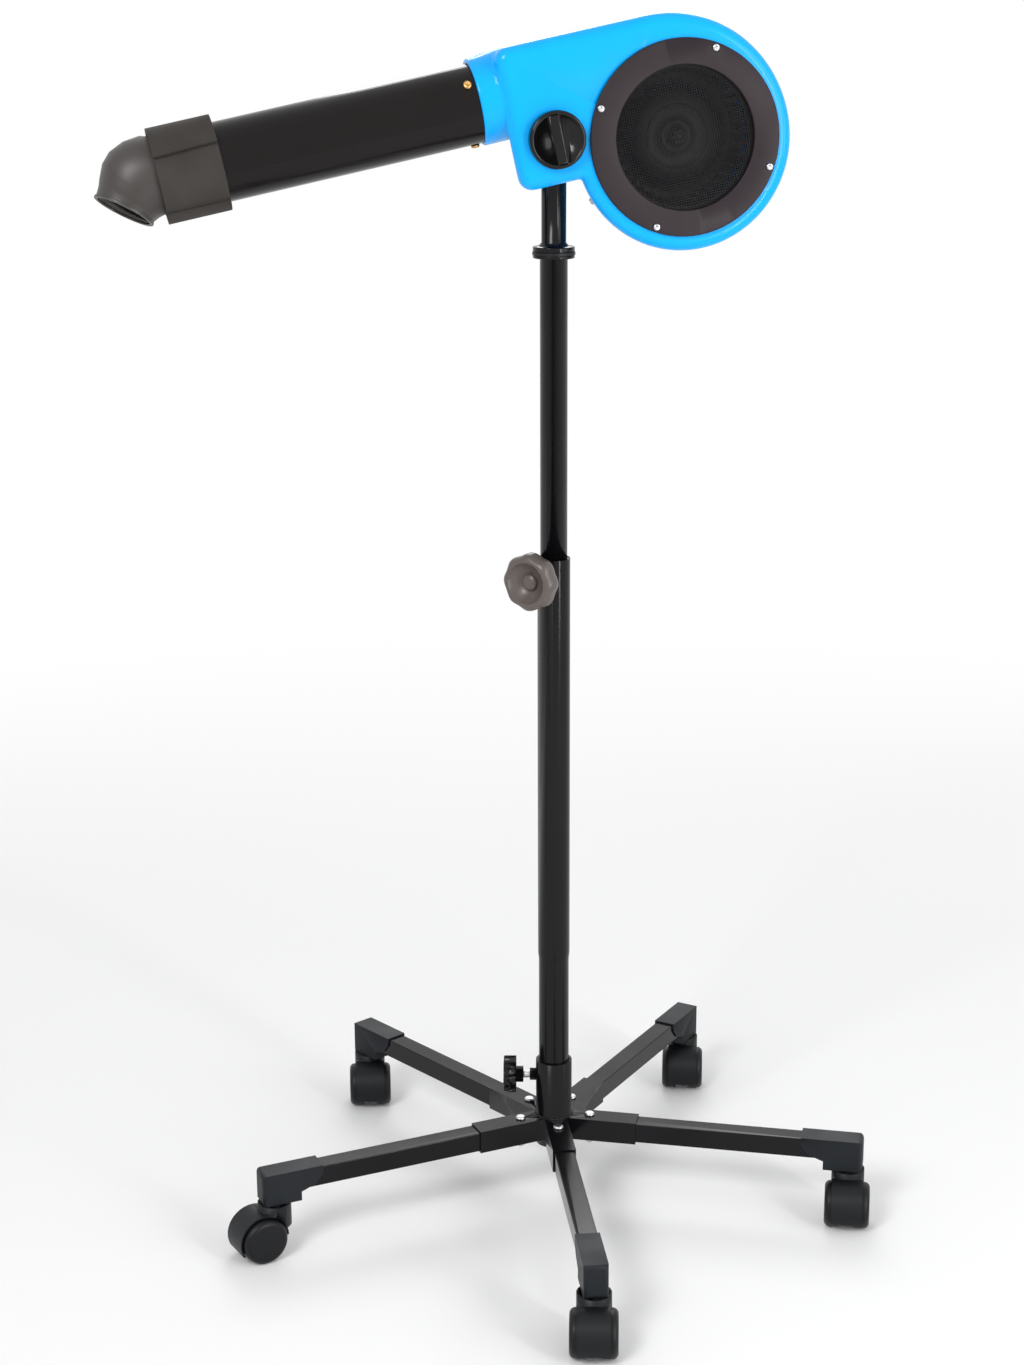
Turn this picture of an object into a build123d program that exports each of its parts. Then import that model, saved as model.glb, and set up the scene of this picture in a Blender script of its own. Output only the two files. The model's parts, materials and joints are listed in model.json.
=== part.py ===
from build123d import *
"""Pet dryer on a five-legged caster stand.

Millimetres, +Z up.  The origin is on the floor, on the stand's upright axis.
The blower's intake faces -Y and its outlet tube points towards -X.
The head is drawn level about its tilt axis, then turned to its rest tilt.
"""
import os
from math import atan2, cos, degrees, pi, radians, sin, sqrt

os.makedirs("parts", exist_ok=True)

# ---- fits ------------------------------------------------------------------
RUN_FIT = 0.05          # radial clearance of a turning or sliding fit
STEM_ROOM = 0.6         # gap round the stem inside the lobe
PRESS_GAP = 0.02        # radial gap drawn where two parts are pressed together

# ---- stand -----------------------------------------------------------------
LEG_COUNT = 5
FIRST_LEG_DEG = -94.6   # heading of the front leg
LEG_REACH = 347.0       # outer end of a leg cap, from the upright axis
STEM_INSET = 16.0       # caster stem, in from the outer end of a leg cap
STEM_CIRCLE = LEG_REACH - STEM_INSET
STUB_SIDE = 25.4
STUB_WALL = 1.5
STUB_REACH = 95.0
LEG_FIT = 0.2           # gap on each side of a leg inside its stub
LEG_SIDE = STUB_SIDE - 2 * (STUB_WALL + LEG_FIT)
LEG_WALL = 1.5
LEG_START = 27.0
LEG_Z = 83.0            # centre height of stubs and legs
LEG_BOLT_CIRCLE = 41.0
LEG_BOLT_D = 6.0
LEG_BOLT_HEAD_D = 11.0

SOCKET_OD = 40.0
SOCKET_FOOT_Z = 61.0
SOCKET_TOP_Z = 160.6
SOCKET_FLOOR = 3.0
SOCKET_CLAMP_Z = 142.0
SOCKET_CLAMP_DEG = 168.0

CAP_WALL = 1.9
CAP_LENGTH = 68.0
CAP_BOTTOM_Z = 60.0
CAP_CORNER = 5.0

# ---- casters ---------------------------------------------------------------
WHEEL_D = 50.0
WHEEL_W = 17.0
WHEEL_GAP = 15.2        # between the two wheels of a caster
CASTER_TRAIL = 20.0
CASTER_STEM_D = 11.0
CASTER_HEADINGS = (-103.0, -109.0, -105.0, -97.0, 200.0)
HOOD_WIDTH = 34.0
HOOD_GAP = 1.0
HOOD_WALL = 2.2
HOOD_WEB = 5.0
HOOD_DROP_Z = 12.0      # lower end of the hood's arc
HOOD_SKIRT_Z = 33.0     # lower end of the collar, beside the stem
HOOD_COLLAR_D = 36.0
CASTER_STEM_FOOT_Z = 40.0
CASTER_BOSS_D = 14.4     # stem boss, between the wheels
AXLE_D = 6.0

# ---- uprights --------------------------------------------------------------
COLUMN_OD = 34.9
COLUMN_WALL = 1.5
SPIGOT_OD = 33.2        # reduced lower end of the column
SPIGOT_TOP_Z = 282.0
COLUMN_TOP_Z = 734.5
COLUMN_CLAMP_Z = 717.0
COLUMN_CLAMP_DEG = -135.0
BUSH_LENGTH = 30.0
MAST_OD = 28.6
STEM_OD = 25.4
STEM_WALL = 2.0
MAST_FOOT_Z = 500.0
GUIDE_LENGTH = 24.0
FLANGE_OD = 43.0
LOWER_FLANGE_Z = 1046.9
LOWER_FLANGE_T = 3.3
WASHER_T = 3.1
UPPER_FLANGE_T = 5.2
STEM_SPIGOT = 70.0      # stem length inside the mast

# ---- clamp screws ----------------------------------------------------------
CLAMP_SCREW_D = 8.0
CLAMP_TIP_GAP = 0.2
MAST_KNOB_D = 62.0
MAST_KNOB_FACE = 54.0   # knob face, from the upright axis
MAST_KNOB_T = 22.0
SOCKET_KNOB_D = 41.0
SOCKET_KNOB_FACE = 56.0
SOCKET_KNOB_T = 14.0
SOCKET_KNOB_HUB = 8.0

# ---- head: level, about the tilt axis ----------------------------------------
PIVOT_Z = 1168.0
REST_TILT = 12.0        # nozzle end down
TILT_UP = 9.0           # travel from rest, nozzle up
TILT_DOWN = 58.0        # travel from rest, nozzle down

FRONT_Y = -42.0
BELT_Y = -27.0          # widest section of the housing
SEAM_Y = 0.0
REAR_Y = 54.0
DRAFT = 0.169           # inset per millimetre behind the belt
HOUSING_WALL = 3.0
EDGE_R = 12.0
FAN_X = 122.0           # fan axis
FAN_Z = -27.0
SCROLL_X = 123.0        # centre of the scroll's round wall
SCROLL_Z = -29.0
SCROLL_R = 110.5
TOP_Z = 96.5
LOBE_LEFT = 49.4
LOBE_BOTTOM = -44.3
LOBE_CORNER = 14.0
LOBE_REAR_Y = 18.0
NOTCH_R = 5.0           # concave corner between lobe and scroll
WEB_Y = -18.0           # front face of the lobe's inner web

TUBE_OD = 78.5
TUBE_WALL = 2.0
TUBE_Y = 8.0
TUBE_Z = 47.5
TUBE_START = 52.0
TUBE_END = 383.0
CUFF_END = 71.0
CUFF_EDGE_R = 2.0       # rounding of the cuff's open end
# duct fairing, from the cuff's end into the housing: X, radius and centre height
FAIRING = ((-CUFF_END, 43.0, 48.5), (LOBE_CORNER - LOBE_LEFT, 45.5, 51.0), (-12.0, 38.5, 52.0))
TUBE_SCREW_A = 79.0
TUBE_SCREW_TURNS = (58.0, 178.0, 298.0)

RING_D = 194.0
RING_T = 4.0
INTAKE_D = 142.0
RING_SCREW_PCD = 183.4
RING_SCREW_DEG = 59.5
MESH_T = 1.0

WHEEL_FAN_D = 150.0
FAN_FRONT_Y = -33.0
FAN_BACK_Y = 20.0
FAN_BLADES = 36
SHAFT_D = 8.0

MOTOR_D = 96.0
MOTOR_LENGTH = 78.0
MOTOR_WALL = 2.0
MOTOR_MID = 32.0        # middle of the windings, behind the housing
GLAND_D = 12.0
GLAND_INSET = 20.0      # gland axis, from the motor's end
BEARING_OD = 22.0
BEARING_W = 7.0

KNOB_X = -6.0
KNOB_D = 57.0
KNOB_T = 13.0
SWITCH_SIDE = 21.0
SWITCH_SHAFT_D = 6.0

NOZZLE_BEND = 51.0
NOZZLE_WALL = 2.5
NOZZLE_START = 384.0
NOZZLE_SPIGOT = 352.0
NOZZLE_ARC = 62.3
NOZZLE_LIP = 2.5
NOZZLE_ROLL = 16.0      # turn of the bend about the tube, mouth towards the front
# bend angle, then centre, half height and half width of each section
NOZZLE_SECTIONS = ((9, 65.5, 39.9, 38.6), (18, 67.1, 40.3, 39.0), (27, 67.5, 39.5, 38.3),
                   (34, 66.2, 37.3, 36.6), (41, 63.5, 33.6, 33.8), (46, 62.0, 31.3, 31.3),
                   (NOZZLE_BEND, 61.6, 30.2, 30.2))
BAND_START = 330.0
BAND_END = 393.5
BAND_T = 4.0
BAND_MOUTH_R = 41.2     # the band's stretched end, over the nozzle's swell

HEATER_START = 100.0
HEATER_END = 215.0
HEATER_WALL_GAP = 8.25  # element's centre line, in from the tube's bore
SPOKE_GAP = 1.25        # former's spokes, in from the tube's bore
HEATER_R = TUBE_OD / 2 - TUBE_WALL - HEATER_WALL_GAP
HEATER_SPOKE = TUBE_OD / 2 - TUBE_WALL - SPOKE_GAP
HEATER_TURNS = 9
HEATER_PITCH = 12.0
HEATER_WIRE_D = 2.0

SEAM_SCREW_Y = SEAM_Y - 12.0
SEAM_SCREW_DEGS = (-157.5, -105.0, -55.0, -5.0)

TILT_BOLT_D = 10.0
TILT_BUSH_OD = 22.0
TILT_WASHER_T = 1.2
TILT_WASHER_D = 20.0


# ---- helpers ---------------------------------------------------------------
def write(name, *solids):
    """Write one node as a STEP file; several solids share it as a group."""
    shape = solids[0] if len(solids) == 1 else Compound(children=list(solids))
    shape.label = name
    export_step(shape, f"parts/{name}.step")
    return shape


def rod(d, start, end, axis="Z", at=(0, 0, 0)):
    """A round bar from start to end along an axis through at."""
    turn = {"X": Rot(0, 90, 0), "Y": Rot(90, 0, 0), "Z": Rot(0, 0, 0)}[axis]
    mid = (start + end) / 2
    shift = {"X": (mid, at[1], at[2]), "Y": (at[0], mid, at[2]), "Z": (at[0], at[1], mid)}[axis]
    return Pos(*shift) * turn * Cylinder(d / 2, abs(end - start))


def tube(od, bore, start, end, axis="Z", at=(0, 0, 0)):
    """A round tube from start to end along an axis through at."""
    return rod(od, start, end, axis, at) - rod(bore, start - 1, end + 1, axis, at)


def block(x, y, z):
    """A box from three (low, high) pairs."""
    size = (x[1] - x[0], y[1] - y[0], z[1] - z[0])
    return Pos((x[0] + x[1]) / 2, (y[0] + y[1]) / 2, (z[0] + z[1]) / 2) * Box(*size)


def face_at_y(face, y):
    """Stand a face drawn in X, Z up at a depth y."""
    return Plane((0, y, 0), x_dir=(1, 0, 0), z_dir=(0, -1, 0)) * face


def prism_y(face, y0, y1):
    """Extrude a face drawn in X, Z from y0 back to y1."""
    return extrude(face_at_y(face, y0), amount=-(y1 - y0))


def polygon(*points):
    """A flat face with straight sides."""
    return make_face(Polyline(*points, close=True))


def radial(part, heading):
    """Turn a part drawn along +X to a heading about the upright axis."""
    return Rot(0, 0, heading) * part


def hexagon(across_flats, start, end, axis="Z", at=(0, 0, 0), bore=0.0):
    """A hexagonal nut or head along an axis through at."""
    body = extrude(RegularPolygon(across_flats / 2, 6, major_radius=False), amount=end - start)
    if bore:
        body -= Pos(0, 0, (end - start) / 2) * Cylinder(bore / 2, 2 * (end - start))
    if axis == "X":
        return Pos(start, at[1], at[2]) * Rot(0, 90, 0) * body
    if axis == "Y":
        return Pos(at[0], start, at[2]) * Rot(-90, 0, 0) * body
    return Pos(at[0], at[1], start) * body


def dome_screw(head_d, head_h, shank_d, shank_l):
    """A pan-head screw: seat at z = 0, head above, shank below."""
    head = Cylinder(head_d / 2, head_h, align=(Align.CENTER, Align.CENTER, Align.MIN))
    head = fillet(head.edges().group_by(Axis.Z)[-1], head_h * 0.6)
    recess = Pos(0, 0, head_h - 0.6) * (Box(head_d * 0.5, 0.9, 1.4) + Box(0.9, head_d * 0.5, 1.4))
    shank = Cylinder(shank_d / 2, shank_l, align=(Align.CENTER, Align.CENTER, Align.MAX))
    return head - recess + shank


def lobed_knob(diameter, thickness, lobes, scallop_d, depth):
    """A lobed clamp knob along +Z, its back face on z = 0."""
    body = Cylinder(diameter / 2, thickness, align=(Align.CENTER, Align.CENTER, Align.MIN))
    reach = diameter / 2 + scallop_d / 2 - depth
    for k in range(lobes):
        angle = 360 * k / lobes
        body -= Rot(0, 0, angle) * Pos(reach, 0, thickness / 2) * Cylinder(scallop_d / 2, 2 * thickness)
    return body


# ---- stand -----------------------------------------------------------------
column_bore = COLUMN_OD - 2 * COLUMN_WALL
spigot_bore = SPIGOT_OD - 2 * COLUMN_WALL
socket_bore = SPIGOT_OD + 2 * RUN_FIT
column_foot_z = SOCKET_FOOT_Z + SOCKET_FLOOR + CLAMP_TIP_GAP
leg_bottom_z = LEG_Z - LEG_SIDE / 2
leg_top_z = LEG_Z + LEG_SIDE / 2
stub_top_z = LEG_Z + STUB_SIDE / 2
stub_bottom_z = LEG_Z - STUB_SIDE / 2
headings = [FIRST_LEG_DEG + 360 / LEG_COUNT * k for k in range(LEG_COUNT)]
nut_af = 13.0
nut_seat = SOCKET_OD / 2
nut_thickness = 6.8


def make_hub():
    """Socket tube, floor ring, five welded stubs and the welded clamp nut."""
    hub = rod(SOCKET_OD, SOCKET_FOOT_Z, SOCKET_TOP_Z)
    inner = STUB_SIDE - 2 * STUB_WALL
    half = STUB_SIDE / 2
    for heading in headings:
        stub = block((0, STUB_REACH), (-half, half), (stub_bottom_z, stub_top_z))
        hub += radial(stub, heading)
    for heading in headings:
        room = block((LEG_START - 2, STUB_REACH + 1), (-inner / 2, inner / 2),
                     (LEG_Z - inner / 2, LEG_Z + inner / 2))
        hub -= radial(room, heading)
        hole = rod(LEG_BOLT_D + 0.5, stub_bottom_z - 5, stub_top_z + 5, at=(LEG_BOLT_CIRCLE, 0, 0))
        hub -= radial(hole, heading)
    nut = hexagon(nut_af, nut_seat - 1.5, nut_seat + nut_thickness, "X", (0, 0, SOCKET_CLAMP_Z))
    hub += radial(nut, SOCKET_CLAMP_DEG)
    hub -= rod(socket_bore, SOCKET_FOOT_Z + SOCKET_FLOOR, SOCKET_TOP_Z + 1)
    hub -= rod(SOCKET_OD / 2, SOCKET_FOOT_Z - 1, SOCKET_TOP_Z)
    screw_end = nut_seat + nut_thickness + 5
    screw_hole = rod(CLAMP_SCREW_D + 2 * RUN_FIT, 0, screw_end, "X", (0, 0, SOCKET_CLAMP_Z))
    return hub - radial(screw_hole, SOCKET_CLAMP_DEG)


def make_leg():
    """One square leg, drawn along +X."""
    half = LEG_SIDE / 2
    end = STEM_CIRCLE - CASTER_STEM_D / 2 - 5
    bore = half - LEG_WALL
    leg = block((LEG_START, end), (-half, half), (leg_bottom_z, leg_top_z))
    leg = fillet(leg.edges().filter_by(Axis.X), 1.2)
    leg -= block((LEG_START - 1, end + 1), (-bore, bore), (LEG_Z - bore, LEG_Z + bore))
    return leg - rod(LEG_BOLT_D + 0.5, leg_bottom_z - 5, leg_top_z + 5, at=(LEG_BOLT_CIRCLE, 0, 0))


def make_cap():
    """One leg end cap with its stem boss, drawn along +X."""
    start = LEG_REACH - CAP_LENGTH
    boss_start = STEM_CIRCLE - 27
    half = LEG_SIDE / 2 + CAP_WALL
    top = LEG_Z + half
    bottom = LEG_Z - half
    side = polygon((start, top), (start, top - 9), (start + 9, bottom + 6), (boss_start, bottom),
                   (boss_start, CAP_BOTTOM_Z), (LEG_REACH, CAP_BOTTOM_Z), (LEG_REACH, top))
    cap = prism_y(side, -half, half)
    outer = [e for e in cap.edges() if e.center().X > LEG_REACH - 0.1]
    cap = fillet(outer, CAP_CORNER)
    fit = LEG_SIDE / 2 + PRESS_GAP
    leg_end = STEM_CIRCLE - CASTER_STEM_D / 2 - 5
    cap -= block((start - 1, leg_end), (-fit, fit), (LEG_Z - fit, LEG_Z + fit))
    return cap - rod(CASTER_STEM_D + 2 * PRESS_GAP, CAP_BOTTOM_Z - 1, LEG_Z + 6, at=(STEM_CIRCLE, 0, 0))


def make_leg_fasteners():
    """Five cross bolts with nuts, two solids for each leg."""
    out = []
    for heading in headings:
        bolt = rod(LEG_BOLT_D, stub_bottom_z - 7, stub_top_z, at=(LEG_BOLT_CIRCLE, 0, 0))
        head = Pos(LEG_BOLT_CIRCLE, 0, stub_top_z) * Cylinder(
            LEG_BOLT_HEAD_D / 2, 3.4, align=(Align.CENTER, Align.CENTER, Align.MIN))
        head = fillet(head.edges().group_by(Axis.Z)[-1], 2.2)
        nut = hexagon(10.0, stub_bottom_z - 5.2, stub_bottom_z, at=(LEG_BOLT_CIRCLE, 0, 0),
                      bore=LEG_BOLT_D + 2 * PRESS_GAP)
        out += [radial(bolt + head, heading), radial(nut, heading)]
    return out


def make_caster():
    """Hood with axle, and two wheels; stem axis on Z, wheels trailing along +X."""
    wheel_r = WHEEL_D / 2
    inner_r = wheel_r + HOOD_GAP
    outer_r = inner_r + HOOD_WALL
    half = HOOD_WIDTH / 2
    top_z = CAP_BOTTOM_Z - 1.0
    stem_foot = CASTER_STEM_FOOT_Z
    axle_at = (CASTER_TRAIL, 0, wheel_r)
    shell = tube(2 * outer_r, 2 * inner_r, -half, half, "Y", axle_at)
    keep = block((-15, CASTER_TRAIL + outer_r + 5), (-half - 1, half + 1), (HOOD_DROP_Z, 60))
    keep -= block((-20, CASTER_TRAIL - 18), (-half - 2, half + 2), (0, wheel_r))
    shell &= keep
    web = prism_y(Pos(CASTER_TRAIL, wheel_r) * Circle(outer_r - 0.5), -HOOD_WEB / 2, HOOD_WEB / 2)
    web &= keep
    wheel_room = rod(2 * inner_r, -40, 40, "Y", axle_at)
    wheel_room -= block((-40, 80), (-CASTER_BOSS_D / 2, CASTER_BOSS_D / 2), (-10, 80))
    collar = rod(HOOD_COLLAR_D, HOOD_SKIRT_Z, top_z) - wheel_room
    boss = rod(CASTER_BOSS_D, stem_foot - 3, top_z)
    hood = shell + web + collar + boss
    hood -= tube(HOOD_COLLAR_D - 5, CASTER_STEM_D + 8, top_z - 4, top_z + 1)
    hood -= rod(CASTER_STEM_D + 2 * RUN_FIT, stem_foot - 0.5, top_z + 5)
    axle_half = WHEEL_GAP / 2 + WHEEL_W - 5
    hood += rod(AXLE_D, -axle_half, axle_half, "Y", axle_at)
    wheels = []
    for side in (-1, 1):
        inner = side * WHEEL_GAP / 2
        outer = inner + side * WHEEL_W
        wheel = rod(WHEEL_D, min(inner, outer), max(inner, outer), "Y", axle_at)
        rim = wheel.edges().group_by(Axis.Y)[0 if side < 0 else -1]
        wheel = fillet(rim, 6.0)
        lip = wheel.edges().group_by(Axis.Y)[-1 if side < 0 else 0]
        wheel = fillet(lip, 1.0)
        blind = outer - side * 4
        wheel -= rod(AXLE_D + 2 * RUN_FIT, min(inner - side, blind), max(inner - side, blind), "Y", axle_at)
        wheels.append(wheel)
    return hood, wheels


def make_stem_pin():
    """One caster stem, pressed in its cap and running in its hood."""
    pin = rod(CASTER_STEM_D, CASTER_STEM_FOOT_Z, LEG_Z + 5)
    return chamfer(pin.edges().group_by(Axis.Z)[-1], 1.5)


write("base_hub", make_hub())
leg = make_leg()
cap = make_cap()
hood, wheels = make_caster()
pin = make_stem_pin()
stems = []
for k, heading in enumerate(headings):
    name = k + 1
    write(f"leg_{name}", radial(leg, heading))
    write(f"leg_cap_{name}", radial(cap, heading))
    spot = Rot(0, 0, heading) * Pos(STEM_CIRCLE, 0, 0)
    turn = Rot(0, 0, CASTER_HEADINGS[k] - heading)
    stems.append(spot * pin)
    write(f"caster_hood_{name}", spot * turn * hood)
    write(f"caster_wheel_{name}_left", spot * turn * wheels[1])
    write(f"caster_wheel_{name}_right", spot * turn * wheels[0])
write("leg_bolts", *make_leg_fasteners())
write("caster_stems", *stems)


# ---- clamp screws and knobs --------------------------------------------------
def make_clamp_screw(contact_r, end):
    """A clamp screw along +X, its tip just off the tube that it grips."""
    screw = rod(CLAMP_SCREW_D, contact_r + CLAMP_TIP_GAP, end, "X")
    return chamfer(screw.edges().group_by(Axis.X)[0], 0.8)


def make_mast_knob():
    """The large knob with a dished face and a centre boss, along +X."""
    back = MAST_KNOB_FACE - MAST_KNOB_T
    body = lobed_knob(MAST_KNOB_D, MAST_KNOB_T, 8, 26.0, 2.6)
    body = fillet(body.edges().group_by(Axis.Z)[-1], 2.0)
    dish = Pos(0, 0, MAST_KNOB_T) * Cone(15.0, 20.0, 9.0, align=(Align.CENTER, Align.CENTER, Align.MAX))
    body -= dish
    body += Pos(0, 0, MAST_KNOB_T - 9) * Cone(9.5, 8.2, 6.0, align=(Align.CENTER, Align.CENTER, Align.MIN))
    body -= Cylinder(CLAMP_SCREW_D / 2 + PRESS_GAP, 2 * (MAST_KNOB_T - 10))
    return Pos(back, 0, COLUMN_CLAMP_Z) * Rot(0, 90, 0) * body


def make_socket_knob():
    """The small lobed knob with its hub, along +X."""
    back = SOCKET_KNOB_FACE - SOCKET_KNOB_T
    body = lobed_knob(SOCKET_KNOB_D, SOCKET_KNOB_T, 6, 14.0, 3.4)
    body = fillet(body.edges().group_by(Axis.Z)[-1], 1.5)
    body += Cylinder(9.0, SOCKET_KNOB_HUB, align=(Align.CENTER, Align.CENTER, Align.MAX))
    body -= Cylinder(CLAMP_SCREW_D / 2 + PRESS_GAP, 2 * (SOCKET_KNOB_T - 4))
    return Pos(back, 0, SOCKET_CLAMP_Z) * Rot(0, 90, 0) * body


socket_screw = Pos(0, 0, SOCKET_CLAMP_Z) * make_clamp_screw(SPIGOT_OD / 2, SOCKET_KNOB_FACE - 4)
write("socket_clamp_screw", radial(socket_screw, SOCKET_CLAMP_DEG))
write("socket_clamp_knob", radial(make_socket_knob(), SOCKET_CLAMP_DEG))
column_screw = Pos(0, 0, COLUMN_CLAMP_Z) * make_clamp_screw(MAST_OD / 2, MAST_KNOB_FACE - 12)
write("column_clamp_screw", radial(column_screw, COLUMN_CLAMP_DEG))
write("column_clamp_knob", radial(make_mast_knob(), COLUMN_CLAMP_DEG))

# ---- uprights --------------------------------------------------------------
boss_out = MAST_KNOB_FACE - MAST_KNOB_T - 2.0
mast_bore = STEM_OD + 2 * RUN_FIT
washer_z = LOWER_FLANGE_Z + LOWER_FLANGE_T
upper_flange_z = washer_z + WASHER_T + 0.1
stem_foot_z = LOWER_FLANGE_Z - STEM_SPIGOT
bush_foot_z = COLUMN_TOP_Z - BUSH_LENGTH


def make_column():
    """Lower upright: reduced lower end, welded clamp nut."""
    taper = 8.0
    body = rod(SPIGOT_OD, column_foot_z, SPIGOT_TOP_Z + 1)
    body += rod(COLUMN_OD, SPIGOT_TOP_Z + taper, COLUMN_TOP_Z)
    body += Pos(0, 0, SPIGOT_TOP_Z) * Cone(
        SPIGOT_OD / 2, COLUMN_OD / 2, taper, align=(Align.CENTER, Align.CENTER, Align.MIN))
    boss = rod(16.0, COLUMN_OD / 2 - 2, boss_out, "X", (0, 0, COLUMN_CLAMP_Z))
    body += radial(boss, COLUMN_CLAMP_DEG)
    body -= rod(spigot_bore, column_foot_z - 1, SPIGOT_TOP_Z + 10)
    body -= rod(column_bore, SPIGOT_TOP_Z + taper, COLUMN_TOP_Z + 1)
    hole = rod(CLAMP_SCREW_D + 2 * RUN_FIT, 5, boss_out + 5, "X", (0, 0, COLUMN_CLAMP_Z))
    return body - radial(hole, COLUMN_CLAMP_DEG)


def make_bush():
    """Plastic guide in the column's mouth, pierced for the clamp screw."""
    bush = tube(column_bore - 2 * PRESS_GAP, MAST_OD + 2 * RUN_FIT, bush_foot_z, COLUMN_TOP_Z - 0.5)
    hole = rod(CLAMP_SCREW_D + 2 * RUN_FIT, 5, COLUMN_OD, "X", (0, 0, COLUMN_CLAMP_Z))
    return bush - radial(hole, COLUMN_CLAMP_DEG)


def make_mast():
    """Upper upright with the lower swivel flange."""
    mast = rod(MAST_OD, MAST_FOOT_Z, washer_z)
    flange = rod(FLANGE_OD, LOWER_FLANGE_Z, washer_z)
    mast += fillet(flange.edges().filter_by(GeomType.CIRCLE), 0.8)
    return mast - rod(mast_bore, MAST_FOOT_Z - 1, washer_z + 1)


def make_head_stem():
    """Swivel stem: spigot, upper flange and the cross bush of the tilt joint."""
    stem = rod(STEM_OD, stem_foot_z, PIVOT_Z - TILT_BUSH_OD / 2 + 5)
    flange = rod(FLANGE_OD, upper_flange_z, upper_flange_z + UPPER_FLANGE_T)
    stem += fillet(flange.edges().filter_by(GeomType.CIRCLE), 0.8)
    stem += Pos(0, 0, upper_flange_z + UPPER_FLANGE_T) * Cone(
        STEM_OD / 2 + 3.5, STEM_OD / 2, 3.8, align=(Align.CENTER, Align.CENTER, Align.MIN))
    stem -= rod(STEM_OD - 2 * STEM_WALL, stem_foot_z - 1, PIVOT_Z - TILT_BUSH_OD / 2 - 2)
    stem += rod(TILT_BUSH_OD, -bush_half, bush_half, "Y", (0, 0, PIVOT_Z))
    return stem - rod(TILT_BOLT_D + 2 * RUN_FIT, -60, 60, "Y", (0, 0, PIVOT_Z))


bush_half = STEM_OD / 2
write("column_tube", make_column())
write("column_bush", make_bush())
write("mast_tube", make_mast())
guide = tube(column_bore - 2 * RUN_FIT, MAST_OD + 2 * PRESS_GAP, MAST_FOOT_Z, MAST_FOOT_Z + GUIDE_LENGTH)
write("mast_guide", chamfer(guide.edges().filter_by(GeomType.CIRCLE).group_by(Axis.Z)[0], 0.6))
write("swivel_washer", tube(FLANGE_OD + 1, STEM_OD + 2 * RUN_FIT, washer_z, washer_z + WASHER_T))
write("head_stem", make_head_stem())

# ---- head ------------------------------------------------------------------
REST = Pos(0, 0, PIVOT_Z) * Rot(0, -REST_TILT, 0)
scroll_top_r = TOP_Z - SCROLL_Z
fan_at = (FAN_X, 0, FAN_Z)
motor_pcd = MOTOR_D + 14
motor_end = REAR_Y + MOTOR_LENGTH
motor_mid = REAR_Y + MOTOR_MID
front_bearing_y = REAR_Y + 1.5
rear_bearing_y = motor_end - 8 - BEARING_W - 0.1
gland_y = motor_end - GLAND_INSET
nozzle_r = (TUBE_OD - 2 * TUBE_WALL) / 2 - 0.1
nozzle_arc_z = TUBE_Z - NOZZLE_ARC
nozzle_sections = ((0, NOZZLE_ARC, nozzle_r, nozzle_r), *NOZZLE_SECTIONS)


def inset_at(y):
    """How far the housing's outline has drawn in at a depth y."""
    return DRAFT * max(0.0, y - BELT_Y)


def outline(inset):
    """The housing's side outline, drawn in by inset: lobe, scroll and top."""
    r1 = SCROLL_R - inset
    r2 = scroll_top_r - inset
    x2 = SCROLL_X + r1 - r2
    left = -LOBE_LEFT + inset
    top = TOP_Z - inset
    bottom = LOBE_BOTTOM + inset
    rc = max(LOBE_CORNER - inset, 1.0)
    rn = NOTCH_R + inset
    nz = bottom - rn
    nx = SCROLL_X - sqrt((r1 + rn) ** 2 - (nz - SCROLL_Z) ** 2)
    to_notch = atan2(nz - SCROLL_Z, nx - SCROLL_X)
    join = (SCROLL_X + r1 * cos(to_notch), SCROLL_Z + r1 * sin(to_notch))
    mid = (to_notch + 2 * pi if to_notch < 0 else to_notch)
    low = (mid + 2 * pi) / 2
    half = (pi / 2 + atan2(join[1] - nz, join[0] - nx)) / 2
    c45 = cos(pi / 4)
    edges = [
        Line((x2, top), (left + rc, top)),
        ThreePointArc((left + rc, top), (left + rc - rc * c45, top - rc + rc * c45), (left, top - rc)),
        Line((left, top - rc), (left, bottom + rc)),
        ThreePointArc((left, bottom + rc), (left + rc - rc * c45, bottom + rc - rc * c45),
                      (left + rc, bottom)),
        Line((left + rc, bottom), (nx, bottom)),
        ThreePointArc((nx, bottom), (nx + rn * cos(half), nz + rn * sin(half)), join),
        ThreePointArc(join, (SCROLL_X + r1 * cos(low), SCROLL_Z + r1 * sin(low)), (SCROLL_X + r1, SCROLL_Z)),
        ThreePointArc((SCROLL_X + r1, SCROLL_Z), (x2 + r2 * c45, SCROLL_Z + r2 * c45), (x2, top)),
    ]
    return make_face(Wire(edges))


def body_form(wall, front, rear):
    """The housing's form, inset by a wall, from front to rear."""
    front_part = prism_y(outline(wall), front, BELT_Y)
    back_part = loft([face_at_y(outline(wall + inset_at(y)), y) for y in (BELT_Y, rear)], ruled=True)
    form = front_part + back_part
    edges = [e for e in form.edges() if abs(e.center().Y - front) < 0.01]
    return fillet(edges, EDGE_R - wall)


def lobe_room(grow):
    """The region under the air duct that belongs to the lobe."""
    return polygon((-80, -80), (-80, 4 + grow), (-18, 12 + grow), (6.5 + grow / 2, 12 + grow),
                   (15.5 + grow, -5 + grow / 2), (15.5 + grow, -80))


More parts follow.
